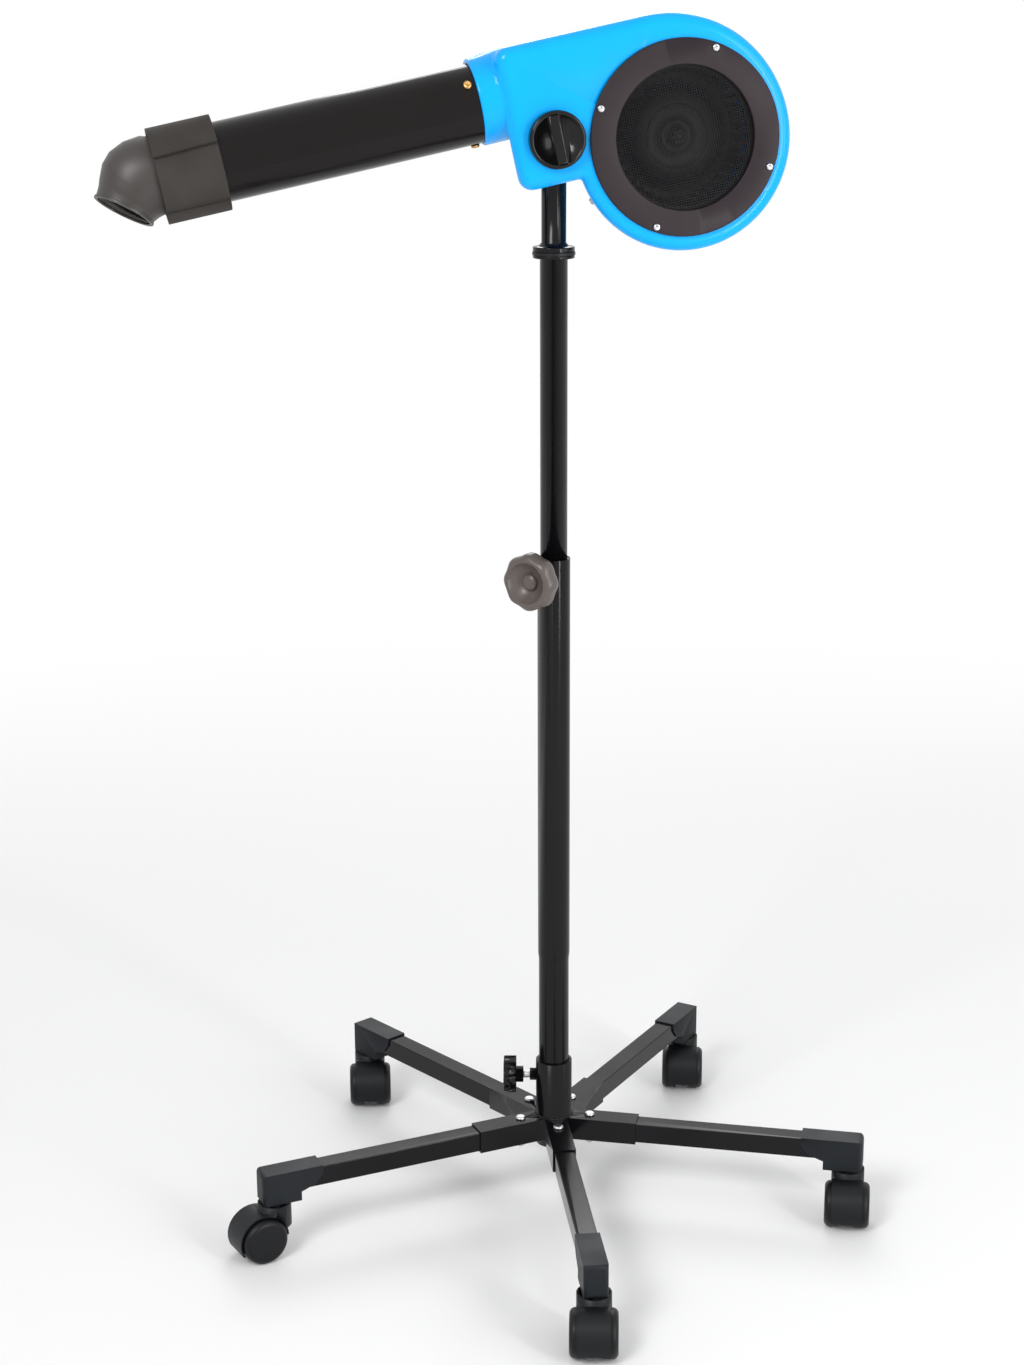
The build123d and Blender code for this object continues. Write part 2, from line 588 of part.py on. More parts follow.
def stem_path(gap):
    """The room that the stem sweeps through the lobe as the head tilts."""
    half = STEM_OD / 2 + gap
    low = radians(REST_TILT - TILT_UP - 1)
    high = radians(REST_TILT + TILT_DOWN + 1)
    reach = 90.0
    points = [(half * cos(low), -half * sin(low))]
    points.append((half * cos(low) - reach * sin(low), -half * sin(low) - reach * cos(low)))
    for k in range(5):
        a = low + (high - low) * k / 4
        points.append((-1.4 * reach * sin(a), -1.4 * reach * cos(a)))
    points.append((-half * cos(high) - reach * sin(high), half * sin(high) - reach * cos(high)))
    points.append((-half * cos(high), half * sin(high)))
    swept = prism_y(polygon(*points), -half, half)
    return swept + rod(2 * half, -half, half, "Y")


def make_housing():
    """The two moulded shells of the blower housing."""
    outer = body_form(0.0, FRONT_Y, REAR_Y)
    inner = body_form(HOUSING_WALL, FRONT_Y + HOUSING_WALL, REAR_Y - HOUSING_WALL)
    outer -= prism_y(lobe_room(0.0), LOBE_REAR_Y, REAR_Y + 5)
    air = inner - prism_y(lobe_room(HOUSING_WALL), FRONT_Y - 5, REAR_Y + 5)
    lobe = inner & prism_y(lobe_room(0.0), FRONT_Y - 5, LOBE_REAR_Y - HOUSING_WALL)
    cuff = loft([Plane((x, TUBE_Y, z), x_dir=(0, 1, 0), z_dir=(1, 0, 0)) * Circle(r) for x, r, z in FAIRING],
                ruled=True)
    cuff = fillet(cuff.edges().group_by(Axis.X)[0], CUFF_EDGE_R)
    shell = outer + cuff
    shell -= air
    shell -= lobe
    web = lobe & block((-80, 40), (WEB_Y, WEB_Y + HOUSING_WALL), (-80, 40))
    shell += web
    seat = rod(TUBE_OD + 0.3, -CUFF_END - 1, -TUBE_START + 0.3, "X", (0, TUBE_Y, TUBE_Z))
    duct = rod(TUBE_OD - 8, -CUFF_END - 1, -LOBE_LEFT + 18, "X", (0, TUBE_Y, TUBE_Z))
    duct -= prism_y(lobe_room(HOUSING_WALL), FRONT_Y - 5, REAR_Y + 5)
    shell -= seat
    shell -= duct
    shell -= stem_path(STEM_ROOM)
    shell -= rod(TILT_BOLT_D + 2 * PRESS_GAP, WEB_Y - 1, LOBE_REAR_Y + 1, "Y")
    shell -= rod(INTAKE_D + 8, FRONT_Y - 1, FRONT_Y + HOUSING_WALL + 1, "Y", (FAN_X, 0, FAN_Z))
    shell -= rod(30.0, REAR_Y - HOUSING_WALL - 1, REAR_Y + 1, "Y", (FAN_X, 0, FAN_Z))
    shell -= rod(SWITCH_SHAFT_D + 4, FRONT_Y - 1, FRONT_Y + HOUSING_WALL + 1, "Y", (KNOB_X, 0, 0))
    for k in range(4):
        shell -= rod(3.4, FRONT_Y - 1, FRONT_Y + HOUSING_WALL + 1, "Y", ring_screw_at(k))
        shell += tube(8.0, 3.4, FRONT_Y + HOUSING_WALL - 0.5, FRONT_Y + 9, "Y", ring_screw_at(k))
        shell -= rod(4.4, REAR_Y - HOUSING_WALL - 1, REAR_Y + 1, "Y", motor_screw_at(k))
    big = 400
    front = shell & block((-big, big), (-big, SEAM_Y), (-big, big))
    rear = shell & block((-big, big), (SEAM_Y, big), (-big, big))
    return front, rear


def make_ring():
    """The flat intake ring on the housing's face."""
    ring = tube(RING_D, INTAKE_D, FRONT_Y - RING_T, FRONT_Y, "Y", fan_at)
    ring = fillet(ring.edges().filter_by(GeomType.CIRCLE).group_by(Axis.Y)[0], 1.2)
    for k in range(4):
        ring -= rod(3.6, FRONT_Y - RING_T - 1, FRONT_Y + 1, "Y", ring_screw_at(k))
    return ring


def ring_screw_at(k):
    """Centre line of the k-th screw of the intake ring."""
    angle = radians(RING_SCREW_DEG + 90 * k)
    return (FAN_X + RING_SCREW_PCD / 2 * cos(angle), 0, FAN_Z + RING_SCREW_PCD / 2 * sin(angle))


def motor_screw_at(k):
    """Centre line of the k-th screw of the motor flange."""
    angle = radians(45 + 90 * k)
    return (FAN_X + motor_pcd / 2 * cos(angle), 0, FAN_Z + motor_pcd / 2 * sin(angle))


def make_mesh():
    """Intake guard behind the ring: a thin disc with a grid of holes."""
    radius = (INTAKE_D + 8) / 2 - 0.2
    front = FRONT_Y
    guard = rod(2 * radius, front, front + MESH_T, "Y", fan_at)
    pitch = 11.0
    count = int(INTAKE_D / 2 / pitch)
    spots = [(i * pitch, j * pitch) for i in range(-count, count + 1) for j in range(-count, count + 1)
             if sqrt((i * pitch) ** 2 + (j * pitch) ** 2) < INTAKE_D / 2 - 7]
    holes = [Pos(FAN_X + x, FAN_Z + z) * Rectangle(8.0, 8.0) for x, z in spots]
    return guard - prism_y(Sketch() + holes, front - 1, front + MESH_T + 1)


def make_fan():
    """Forward-curved blower wheel with a dished, stamped back plate."""
    radius = WHEEL_FAN_D / 2
    profile = [(4.05, 2.0), (4.05, -12.0), (9.0, -12.0), (9.0, -8.0), (17.0, -8.0), (18.0, -9.5),
               (20.0, -8.0),
               (32.0, -8.0), (33.0, -9.5), (35.0, -8.0), (44.0, -8.0), (52.0, FAN_BACK_Y - 2),
               (radius, FAN_BACK_Y - 2), (radius, FAN_BACK_Y), (51.0, FAN_BACK_Y), (43.0, -6.0),
               (9.0, -6.0), (9.0, 2.0)]
    plate = revolve(polygon(*profile), Axis.Y)
    rim = tube(2 * radius, 2 * radius - 14, FAN_FRONT_Y, FAN_FRONT_Y + 2, "Y")
    blades = []
    for k in range(FAN_BLADES):
        arc_in = ThreePointArc((radius - 13, 0), (radius - 6.5, 2.2), (radius - 0.5, 0.4))
        arc_out = ThreePointArc((radius - 0.5, 1.6), (radius - 6.5, 3.4), (radius - 13, 1.2))
        ends = [Line((radius - 0.5, 0.4), (radius - 0.5, 1.6)), Line((radius - 13, 1.2), (radius - 13, 0))]
        blade = Rot(0, 0, 360 / FAN_BLADES * k) * make_face(Wire([arc_in, ends[0], arc_out, ends[1]]))
        blades.append(blade)
    cage = prism_y(Sketch() + blades, FAN_FRONT_Y + 1, FAN_BACK_Y - 1)
    return Pos(FAN_X, 0, FAN_Z) * (plate + rim + cage)


def make_rotor():
    """Shaft with armature core, windings and commutator."""
    shaft = rod(SHAFT_D, -18.0, rear_bearing_y + BEARING_W - 0.5, "Y", fan_at)
    core = rod(46.0, motor_mid - 18, motor_mid + 18, "Y", fan_at)
    slots = []
    for k in range(12):
        angle = radians(30 * k)
        spot = (FAN_X + 23 * cos(angle), 0, FAN_Z + 23 * sin(angle))
        slots.append(rod(4.0, motor_mid - 19, motor_mid + 19, "Y", spot))
    for slot in slots:
        core -= slot
    windings = tube(34.0, SHAFT_D - 1, motor_mid - 22, motor_mid + 22, "Y", fan_at)
    commutator = tube(22.0, SHAFT_D - 1, motor_mid + 21, motor_mid + 29, "Y", fan_at)
    return shaft + core + windings + commutator


def make_stator():
    """Field laminations with two coils' room, a running gap round the armature."""
    ring = tube(MOTOR_D - 2 * MOTOR_WALL - 2 * PRESS_GAP, 47.0, motor_mid - 16, motor_mid + 16, "Y", fan_at)
    for side in (-1, 1):
        low = FAN_X + side * 37 - 6
        ring -= block((low, low + 12), (motor_mid - 20, motor_mid + 20), (FAN_Z - 15, FAN_Z + 15))
    return ring


def make_motor_case():
    """Motor cup with its flange on the housing, cooling slots and rear bearing seat."""
    case = rod(MOTOR_D, REAR_Y, motor_end, "Y", fan_at)
    case = fillet(case.edges().group_by(Axis.Y)[-1], 8.0)
    flange = rod(MOTOR_D + 26, REAR_Y, REAR_Y + 3, "Y", fan_at)
    case += flange
    case -= rod(MOTOR_D - 2 * MOTOR_WALL, REAR_Y - 1, motor_end - 8, "Y", fan_at)
    seat = tube(BEARING_OD + 6, BEARING_OD + 2 * PRESS_GAP, rear_bearing_y, motor_end - 7, "Y", fan_at)
    case += seat
    for k in range(8):
        slot = block((18, 38), (motor_end - 12, motor_end + 2), (-2, 2))
        case -= Pos(FAN_X, 0, FAN_Z) * Rot(0, 45 * k + 22.5, 0) * slot
    for k in range(4):
        case -= rod(4.4, REAR_Y - 1, REAR_Y + 4, "Y", motor_screw_at(k))
    gland_hole = rod(GLAND_D, FAN_Z - MOTOR_D, FAN_Z - 20, "Z", (FAN_X, gland_y, 0))
    return case - gland_hole


def make_motor_plate():
    """Front end plate of the motor, with the front bearing seat."""
    plate = rod(MOTOR_D - 2 * MOTOR_WALL - 2 * PRESS_GAP, REAR_Y, REAR_Y + 3, "Y", fan_at)
    plate += rod(BEARING_OD + 6, REAR_Y, front_bearing_y + BEARING_W, "Y", fan_at)
    plate -= rod(BEARING_OD + 2 * PRESS_GAP, front_bearing_y, REAR_Y + 20, "Y", fan_at)
    return plate - rod(SHAFT_D + 4, REAR_Y - 1, REAR_Y + 20, "Y", fan_at)


def make_bearing(start):
    """One ball bearing as a closed ring, running on the shaft."""
    body = tube(BEARING_OD, SHAFT_D + 2 * RUN_FIT, start, start + BEARING_W, "Y", fan_at)
    return body - tube(18.0, 13.0, start - 1, start + 0.6, "Y", fan_at)


def make_gland():
    """Cable gland under the motor case, its bore left open for a cord."""
    top = FAN_Z - MOTOR_D / 2 + MOTOR_WALL + 1.0
    at = (FAN_X, gland_y, 0)
    body = rod(GLAND_D - 2 * PRESS_GAP, FAN_Z - MOTOR_D / 2 - 3, top, "Z", at)
    body += hexagon(19.0, FAN_Z - MOTOR_D / 2 - 9, FAN_Z - MOTOR_D / 2 - 0.6, "Z", at)
    dome = Pos(FAN_X, gland_y, FAN_Z - MOTOR_D / 2 - 18) * Cone(
        6.0, 8.5, 9.5, align=(Align.CENTER, Align.CENTER, Align.MIN))
    return body + dome - rod(8.0, FAN_Z - MOTOR_D, 0, "Z", at)


def make_case_screws():
    """Screws of the motor flange and of the seam between the shells."""
    out = []
    for k in range(4):
        screw = dome_screw(8.0, 2.8, 4.0, 8.0)
        x, _, z = motor_screw_at(k)
        out.append(Pos(x, REAR_Y + 3, z) * Rot(-90, 0, 0) * screw)
    for angle in SEAM_SCREW_DEGS:
        out.append(seam_seat(angle) * Pos(0.15, 0, 0) * Rot(0, 90, 0) * dome_screw(7.0, 2.4, 3.0, 8.0))
    return out


def make_seam_lip():
    """Inner lip of the rear shell that the front shell's seam screws bite."""
    def skin(inset, y0, y1):
        return loft([face_at_y(outline(inset + inset_at(y)), y) for y in (y0, y1)], ruled=True)
    front_edge = SEAM_Y - 20
    lip = skin(HOUSING_WALL + 0.2, front_edge, SEAM_Y + 2) - skin(HOUSING_WALL + 2.4, front_edge, SEAM_Y + 2)
    root = skin(HOUSING_WALL - 0.5, SEAM_Y, SEAM_Y + 8) - skin(HOUSING_WALL + 2.4, SEAM_Y, SEAM_Y + 8)
    keep = block((34, 400), (-100, 100), (-200, 60))
    return (lip + root) & keep


def seam_seat(angle):
    """Frame on the scroll's drafted wall, X outwards, where a seam screw sits."""
    reach = SCROLL_R - inset_at(SEAM_SCREW_Y)
    lean = degrees(atan2(DRAFT, 1.0))
    return Pos(SCROLL_X, SEAM_SCREW_Y, SCROLL_Z) * Rot(0, -angle, 0) * Pos(reach, 0, 0) * Rot(0, 0, lean)


def seam_hole(angle):
    """Clearance for one seam screw, through both shells."""
    return seam_seat(angle) * rod(3.0 + 2 * PRESS_GAP, -14, 5, "X")


def make_outlet_tube():
    """The long outlet tube, pierced for its three screws."""
    body = tube(TUBE_OD, TUBE_OD - 2 * TUBE_WALL, -TUBE_END, -TUBE_START, "X", (0, TUBE_Y, TUBE_Z))
    for turn in TUBE_SCREW_TURNS:
        hole = rod(3.6, TUBE_OD / 2 - 8, TUBE_OD / 2 + 5)
        body -= Pos(-TUBE_SCREW_A, TUBE_Y, TUBE_Z) * Rot(turn, 0, 0) * hole
    return body


def make_heater_former():
    """Heat-proof cross that carries the element, on a ring behind the screws."""
    x0, x1 = -HEATER_END, -HEATER_START
    at = (0, TUBE_Y, TUBE_Z)
    reach = HEATER_R + 3
    cross = block((x0, x1), (-reach, reach), (-0.8, 0.8)) + block((x0, x1), (-0.8, 0.8), (-reach, reach))
    ring = tube(TUBE_OD - 2 * TUBE_WALL - 0.3, TUBE_OD - 2 * TUBE_WALL - 5, x1 - 6, -TUBE_SCREW_A + 8, "X")
    wide = (-HEATER_SPOKE, HEATER_SPOKE)
    spokes = block((x1 - 6, x1), wide, (-0.8, 0.8)) + block((x1 - 6, x1), (-0.8, 0.8), wide)
    former = Pos(0, TUBE_Y, TUBE_Z) * (cross + ring + spokes)
    for k in range(HEATER_TURNS):
        x = x0 + 8 + k * HEATER_PITCH
        notch = tube(2 * HEATER_R + 10, 2 * HEATER_R - 3.2, x - 1.4, x + 1.4, "X", at)
        former -= notch
    for turn in TUBE_SCREW_TURNS:
        hole = rod(3.0 + 2 * PRESS_GAP, TUBE_OD / 2 - 12, TUBE_OD / 2)
        former -= Pos(-TUBE_SCREW_A, TUBE_Y, TUBE_Z) * Rot(turn, 0, 0) * hole
    return former


def make_coil():
    """The element: turns in series, joined by short bars between turns."""
    x0 = -HEATER_END + 8
    turns = [Pos(x0 + k * HEATER_PITCH, 0, 0) * Rot(0, 90, 0) * Torus(HEATER_R, HEATER_WIRE_D / 2)
             for k in range(HEATER_TURNS)]
    coil = turns[0]
    for k in range(1, HEATER_TURNS):
        coil += turns[k]
        angle = radians(45 if k % 2 else 225)
        spot = (0, HEATER_R * cos(angle), HEATER_R * sin(angle))
        coil += rod(1.2 * HEATER_WIRE_D, x0 + (k - 1) * HEATER_PITCH, x0 + k * HEATER_PITCH, "X", spot)
    return Pos(0, TUBE_Y, TUBE_Z) * coil


def nozzle_plane(angle, centre):
    """Cutting plane of the nozzle's bend at an angle round its arc."""
    turn = radians(angle)
    origin = (-(NOZZLE_START + centre * sin(turn)), TUBE_Y, nozzle_arc_z + centre * cos(turn))
    return Plane(origin, x_dir=(0, 1, 0), z_dir=(-cos(turn), 0, -sin(turn)))


def nozzle_segment(first, last, inset):
    """The bend between two neighbouring sections, drawn in by an inset."""
    faces = [nozzle_plane(angle, centre) * Ellipse(side - inset, half - inset)
             for angle, centre, half, side in (first, last)]
    return loft(faces, ruled=True)


def make_nozzle():
    """Domed elbow nozzle with a flared lip and a spigot in the tube."""
    at = (0, TUBE_Y, TUBE_Z)
    body = tube(2 * nozzle_r, 2 * (nozzle_r - NOZZLE_WALL), -NOZZLE_START, -NOZZLE_SPIGOT, "X", at)
    for first, last in zip(nozzle_sections, nozzle_sections[1:]):
        body += nozzle_segment(first, last, 0.0) - nozzle_segment(first, last, NOZZLE_WALL)
    angle, centre, half, _ = nozzle_sections[-1]
    mouth = nozzle_plane(angle, centre)
    lip = extrude(mouth * (Circle(half + 1.2) - Circle(half - NOZZLE_WALL)), amount=NOZZLE_LIP)
    bend = body + fillet(lip.edges().filter_by(GeomType.CIRCLE), 0.6)
    return Pos(*at) * Rot(-NOZZLE_ROLL, 0, 0) * Pos(0, -TUBE_Y, -TUBE_Z) * bend


def make_band():
    """Rubber wrap round the tube's end, its outer turn lapping over the top."""
    at = (0, TUBE_Y, TUBE_Z)
    inner = TUBE_OD + 0.4
    wrap = tube(inner + 2 * BAND_T, inner, -BAND_END, -BAND_START, "X", at)
    wrap -= rod(2 * BAND_MOUTH_R, -BAND_END - 1, -NOZZLE_START + 1, "X", at)
    lap = tube(inner + 4 * BAND_T, inner + 2 * BAND_T - 0.4, -BAND_END, -BAND_START, "X", at)
    wedge = polygon((0, 0), (25, -90), (-90, -90), (-90, 90), (60, 90), (60, 40))
    plane = Plane((-BAND_END - 1, TUBE_Y, TUBE_Z), x_dir=(0, 1, 0), z_dir=(1, 0, 0))
    sector = extrude(plane * wedge, amount=BAND_END - BAND_START + 2)
    return wrap + (lap & sector)


def make_knob():
    """Rotary selector knob with a grip bar across its face."""
    disc = Cylinder(KNOB_D / 2, KNOB_T - 4, align=(Align.CENTER, Align.CENTER, Align.MIN))
    disc = fillet(disc.edges().group_by(Axis.Z)[-1], 2.5)
    disc -= Pos(0, 0, KNOB_T - 4) * Cylinder(KNOB_D / 2 - 4, 3.0)
    bar = Box(10.5, KNOB_D - 9, KNOB_T - 2.5, align=(Align.CENTER, Align.CENTER, Align.MIN))
    bar = fillet(bar.edges().group_by(Axis.Z)[-1], 1.6)
    knob = disc + bar
    return Pos(KNOB_X, FRONT_Y - 0.8, 0) * Rot(90, 0, 0) * knob


def make_switch():
    """Rotary switch behind the front wall: body, and the shaft that turns."""
    half = SWITCH_SIDE / 2
    back = FRONT_Y + HOUSING_WALL
    body = block((KNOB_X - half, KNOB_X + half), (back, WEB_Y - 2), (-half, half))
    body = fillet(body.edges().filter_by(Axis.Y), 3.0)
    body += rod(9.0, FRONT_Y - 0.3, back + 1, "Y", (KNOB_X, 0, 0))
    return body - rod(SWITCH_SHAFT_D + 2 * RUN_FIT, FRONT_Y - 2, back + 12, "Y", (KNOB_X, 0, 0))


housing_front, housing_rear = make_housing()
housing_rear += make_seam_lip() - stem_path(STEM_ROOM)
for angle in SEAM_SCREW_DEGS:
    housing_front -= seam_hole(angle)
    housing_rear -= seam_hole(angle)
write("housing_front", REST * housing_front)
write("housing_rear", REST * housing_rear)
ring_screws = [Pos(ring_screw_at(k)[0], FRONT_Y - RING_T, ring_screw_at(k)[2]) * Rot(90, 0, 0)
               * dome_screw(7.2, 2.6, 3.2, 9.0) for k in range(4)]
write("housing_screws", *[REST * screw for screw in make_case_screws() + ring_screws])
write("intake_ring", REST * make_ring())
write("intake_mesh", REST * make_mesh())
write("fan_wheel", REST * make_fan())
write("fan_nut", REST * hexagon(13.0, -18.6, -12.2, "Y", fan_at, SHAFT_D + 2 * PRESS_GAP))
write("motor_rotor", REST * make_rotor())
write("motor_stator", REST * make_stator())
write("motor_case", REST * make_motor_case())
write("motor_plate", REST * make_motor_plate())
write("motor_bearings", REST * make_bearing(front_bearing_y), REST * make_bearing(rear_bearing_y))
write("cable_gland", REST * make_gland())
write("outlet_tube", REST * make_outlet_tube())
tube_screw = Pos(0, 0, TUBE_OD / 2) * dome_screw(8.6, 3.0, 3.0, 7.0)
write("outlet_tube_screws", *[
    REST * Pos(-TUBE_SCREW_A, TUBE_Y, TUBE_Z) * Rot(turn, 0, 0) * tube_screw for turn in TUBE_SCREW_TURNS])
write("heater_former", REST * make_heater_former())
write("heater_coil", REST * make_coil())
write("nozzle", REST * make_nozzle())
write("nozzle_band", REST * make_band())
shaft_tip = FRONT_Y - 0.8 - (KNOB_T - 5) + 0.3
shaft = rod(SWITCH_SHAFT_D, shaft_tip, FRONT_Y + HOUSING_WALL + 11, "Y", (KNOB_X, 0, 0))
write("selector_knob", REST * (make_knob() + shaft))
write("switch_body", REST * make_switch())


def make_tilt_bolt():
    """Tilt bolt with its head on the web and lock nut behind the lobe."""
    bolt = rod(TILT_BOLT_D, WEB_Y - 0.5, LOBE_REAR_Y + 11, "Y")
    head = rod(18.0, WEB_Y - 1.8, WEB_Y, "Y")
    nut = hexagon(17.0, LOBE_REAR_Y + 1.7, LOBE_REAR_Y + 9.5, "Y", (0, 0, 0), TILT_BOLT_D + 2 * PRESS_GAP)
    washer = tube(TILT_WASHER_D, TILT_BOLT_D + 0.6, LOBE_REAR_Y, LOBE_REAR_Y + 1.7, "Y")
    return bolt + head, nut, washer


friction = [tube(TILT_WASHER_D, TILT_BOLT_D + 0.4, y, y + TILT_WASHER_T, "Y")
            for y in (WEB_Y + HOUSING_WALL + 0.1, bush_half + 0.1)]
write("tilt_bolt", *[REST * piece for piece in [*make_tilt_bolt(), *friction]])
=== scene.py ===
"""Looks for a stand-mounted pet dryer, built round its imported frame.

The frame gives every place and size. This file dresses its nodes with finishes, smooths their
shading, and adds the finer pieces: the clamp knob's moulding, the wrapped rubber band, the wire
cloth of the intake guard and the weld beads.
"""

import json
import logging
import math
from dataclasses import dataclass, field, replace
from enum import Enum

import bmesh
import bpy
from mathutils import Matrix, Vector, noise

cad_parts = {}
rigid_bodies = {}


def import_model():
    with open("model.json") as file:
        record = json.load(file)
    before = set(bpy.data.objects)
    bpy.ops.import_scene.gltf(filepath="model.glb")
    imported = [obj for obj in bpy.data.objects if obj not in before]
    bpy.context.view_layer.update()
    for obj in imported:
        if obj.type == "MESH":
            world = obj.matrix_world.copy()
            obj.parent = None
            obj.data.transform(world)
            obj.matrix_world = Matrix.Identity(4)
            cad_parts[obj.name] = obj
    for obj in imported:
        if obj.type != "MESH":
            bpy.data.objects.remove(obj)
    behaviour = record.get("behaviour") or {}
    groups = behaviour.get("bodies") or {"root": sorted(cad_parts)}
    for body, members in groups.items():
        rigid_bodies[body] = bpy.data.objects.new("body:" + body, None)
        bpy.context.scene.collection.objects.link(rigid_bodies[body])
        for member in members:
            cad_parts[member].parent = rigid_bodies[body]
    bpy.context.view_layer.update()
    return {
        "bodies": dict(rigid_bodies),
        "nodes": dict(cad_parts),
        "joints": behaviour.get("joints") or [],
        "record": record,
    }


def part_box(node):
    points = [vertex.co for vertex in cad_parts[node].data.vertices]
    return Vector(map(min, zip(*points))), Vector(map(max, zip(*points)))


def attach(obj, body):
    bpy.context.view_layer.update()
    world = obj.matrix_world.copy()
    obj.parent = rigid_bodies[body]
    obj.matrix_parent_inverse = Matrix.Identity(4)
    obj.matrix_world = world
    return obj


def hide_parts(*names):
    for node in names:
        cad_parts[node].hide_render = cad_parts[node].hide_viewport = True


# Nodes whose finer form is built below, so that no plain skin is made for them.
REPLACED = ("intake_mesh", "nozzle_band", "column_clamp_knob")
LOG = logging.getLogger("pet_dryer")
MERGE_DISTANCE = 1e-6
SMOOTH_ANGLE = math.radians(32)
# A finish's slow drift in tone and gloss: its pace per metre, the part of the noise that it
# spans, and the gloss at each end as a share of the finish's own.
DRIFT_SCALE = 18.0
DRIFT_LOW, DRIFT_HIGH = 0.3, 0.7
GLOSS_LOW, GLOSS_HIGH = 0.88, 1.15
# A grain's depth in metres for each millimetre of its spacing, and how far brushing packs it.
GRAIN_DEPTH = 1 / 8000
BRUSH_PACKING = 12.0
WHITE = (1.0, 1.0, 1.0, 1.0)


def linear(code: str) -> tuple[float, float, float, float]:
    """Turn an sRGB hex colour to linear light.

    Args:
        code: Six hex digits.

    Returns:
        Linear red, green and blue, and full opacity.
    """
    parts = [int(code[i:i + 2], 16) / 255 for i in (0, 2, 4)]
    out = [c / 12.92 if c <= 0.04045 else ((c + 0.055) / 1.055) ** 2.4 for c in parts]
    return (out[0], out[1], out[2], 1.0)


def add_node(tree: bpy.types.NodeTree, kind: str, values: dict | None = None,
             links: dict | None = None, **settings: object) -> bpy.types.Node:
    """Add one node with its settings, socket values and incoming links.

    Args:
        tree: The tree that takes the node.
        kind: The node's type name.
        values: Input socket name or index to its value.
        links: Input socket name or index to the output socket that feeds it.
        settings: Properties of the node itself.

    Returns:
        The new node.
    """
    node = tree.nodes.new(kind)
    for name, value in settings.items():
        setattr(node, name, value)
    for key, value in (values or {}).items():
        node.inputs[key].default_value = value
    for key, source in (links or {}).items():
        tree.links.new(source, node.inputs[key])
    return node


class Grain(Enum):
    """How a surface was made. A brushed one has fine lines packed along Z."""

    PAINTED = "painted"
    MOULDED = "moulded"
    BRUSHED = "brushed"
    RUBBER = "rubber"


@dataclass(frozen=True)
class Finish:
    """One real finish: its colour, gloss and relief.

    The colour drifts softly between colour and shade. The relief is a bump strength, on a grain
    whose spacing is grain_mm.
    """

    name: str
    colour: str
    shade: str
    grain: Grain
    grain_mm: float
    relief: float
    roughness: float
    metallic: float = 0.0
    specular: float = 0.25

    def build(self) -> bpy.types.Material:
        """Make the material.

        Returns:
            A procedural material read on Object coordinates.
        """
        material = bpy.data.materials.new(self.name)
        material.use_nodes = True
        tree = material.node_tree
        tree.nodes.clear()
        coords = add_node(tree, "ShaderNodeTexCoord").outputs["Object"]
        if self.grain is Grain.BRUSHED:
            coords = add_node(tree, "ShaderNodeMapping", {"Scale": (1.0, 1.0, BRUSH_PACKING)},
                              {"Vector": coords}).outputs["Vector"]
        fine = add_node(tree, "ShaderNodeTexNoise", {"Scale": 1000 / self.grain_mm, "Detail": 3.0},
                        {"Vector": coords})
        broad = add_node(tree, "ShaderNodeTexNoise", {"Scale": DRIFT_SCALE, "Detail": 2.0},
                         {"Vector": coords})
        tone = add_node(tree, "ShaderNodeMix", links={"Factor": broad.outputs["Fac"]},
                        data_type="RGBA")
        tone.inputs["A"].default_value = linear(self.colour)
        tone.inputs["B"].default_value = linear(self.shade)
        gloss = add_node(tree, "ShaderNodeMapRange", {
            "From Min": DRIFT_LOW, "From Max": DRIFT_HIGH,
            "To Min": self.roughness * GLOSS_LOW, "To Max": self.roughness * GLOSS_HIGH},
            {"Value": broad.outputs["Fac"]})
        bump = add_node(tree, "ShaderNodeBump", {
            "Strength": self.relief, "Distance": self.grain_mm * GRAIN_DEPTH},
            {"Height": fine.outputs["Fac"]})
        base = self.shaded(tree, tone.outputs["Result"])
        shader = add_node(tree, "ShaderNodeBsdfPrincipled", {
            "Metallic": self.metallic, "Specular IOR Level": self.specular}, {
            "Base Color": base, "Roughness": gloss.outputs["Result"],
            "Normal": bump.outputs["Normal"]})
        add_node(tree, "ShaderNodeOutputMaterial", links={"Surface": shader.outputs["BSDF"]})
        return material

    def shaded(self, tree: bpy.types.NodeTree, tone: bpy.types.NodeSocket) -> bpy.types.NodeSocket:
        """Give the tone unchanged; a finish with painted shade of its own overrides this."""
        return tone


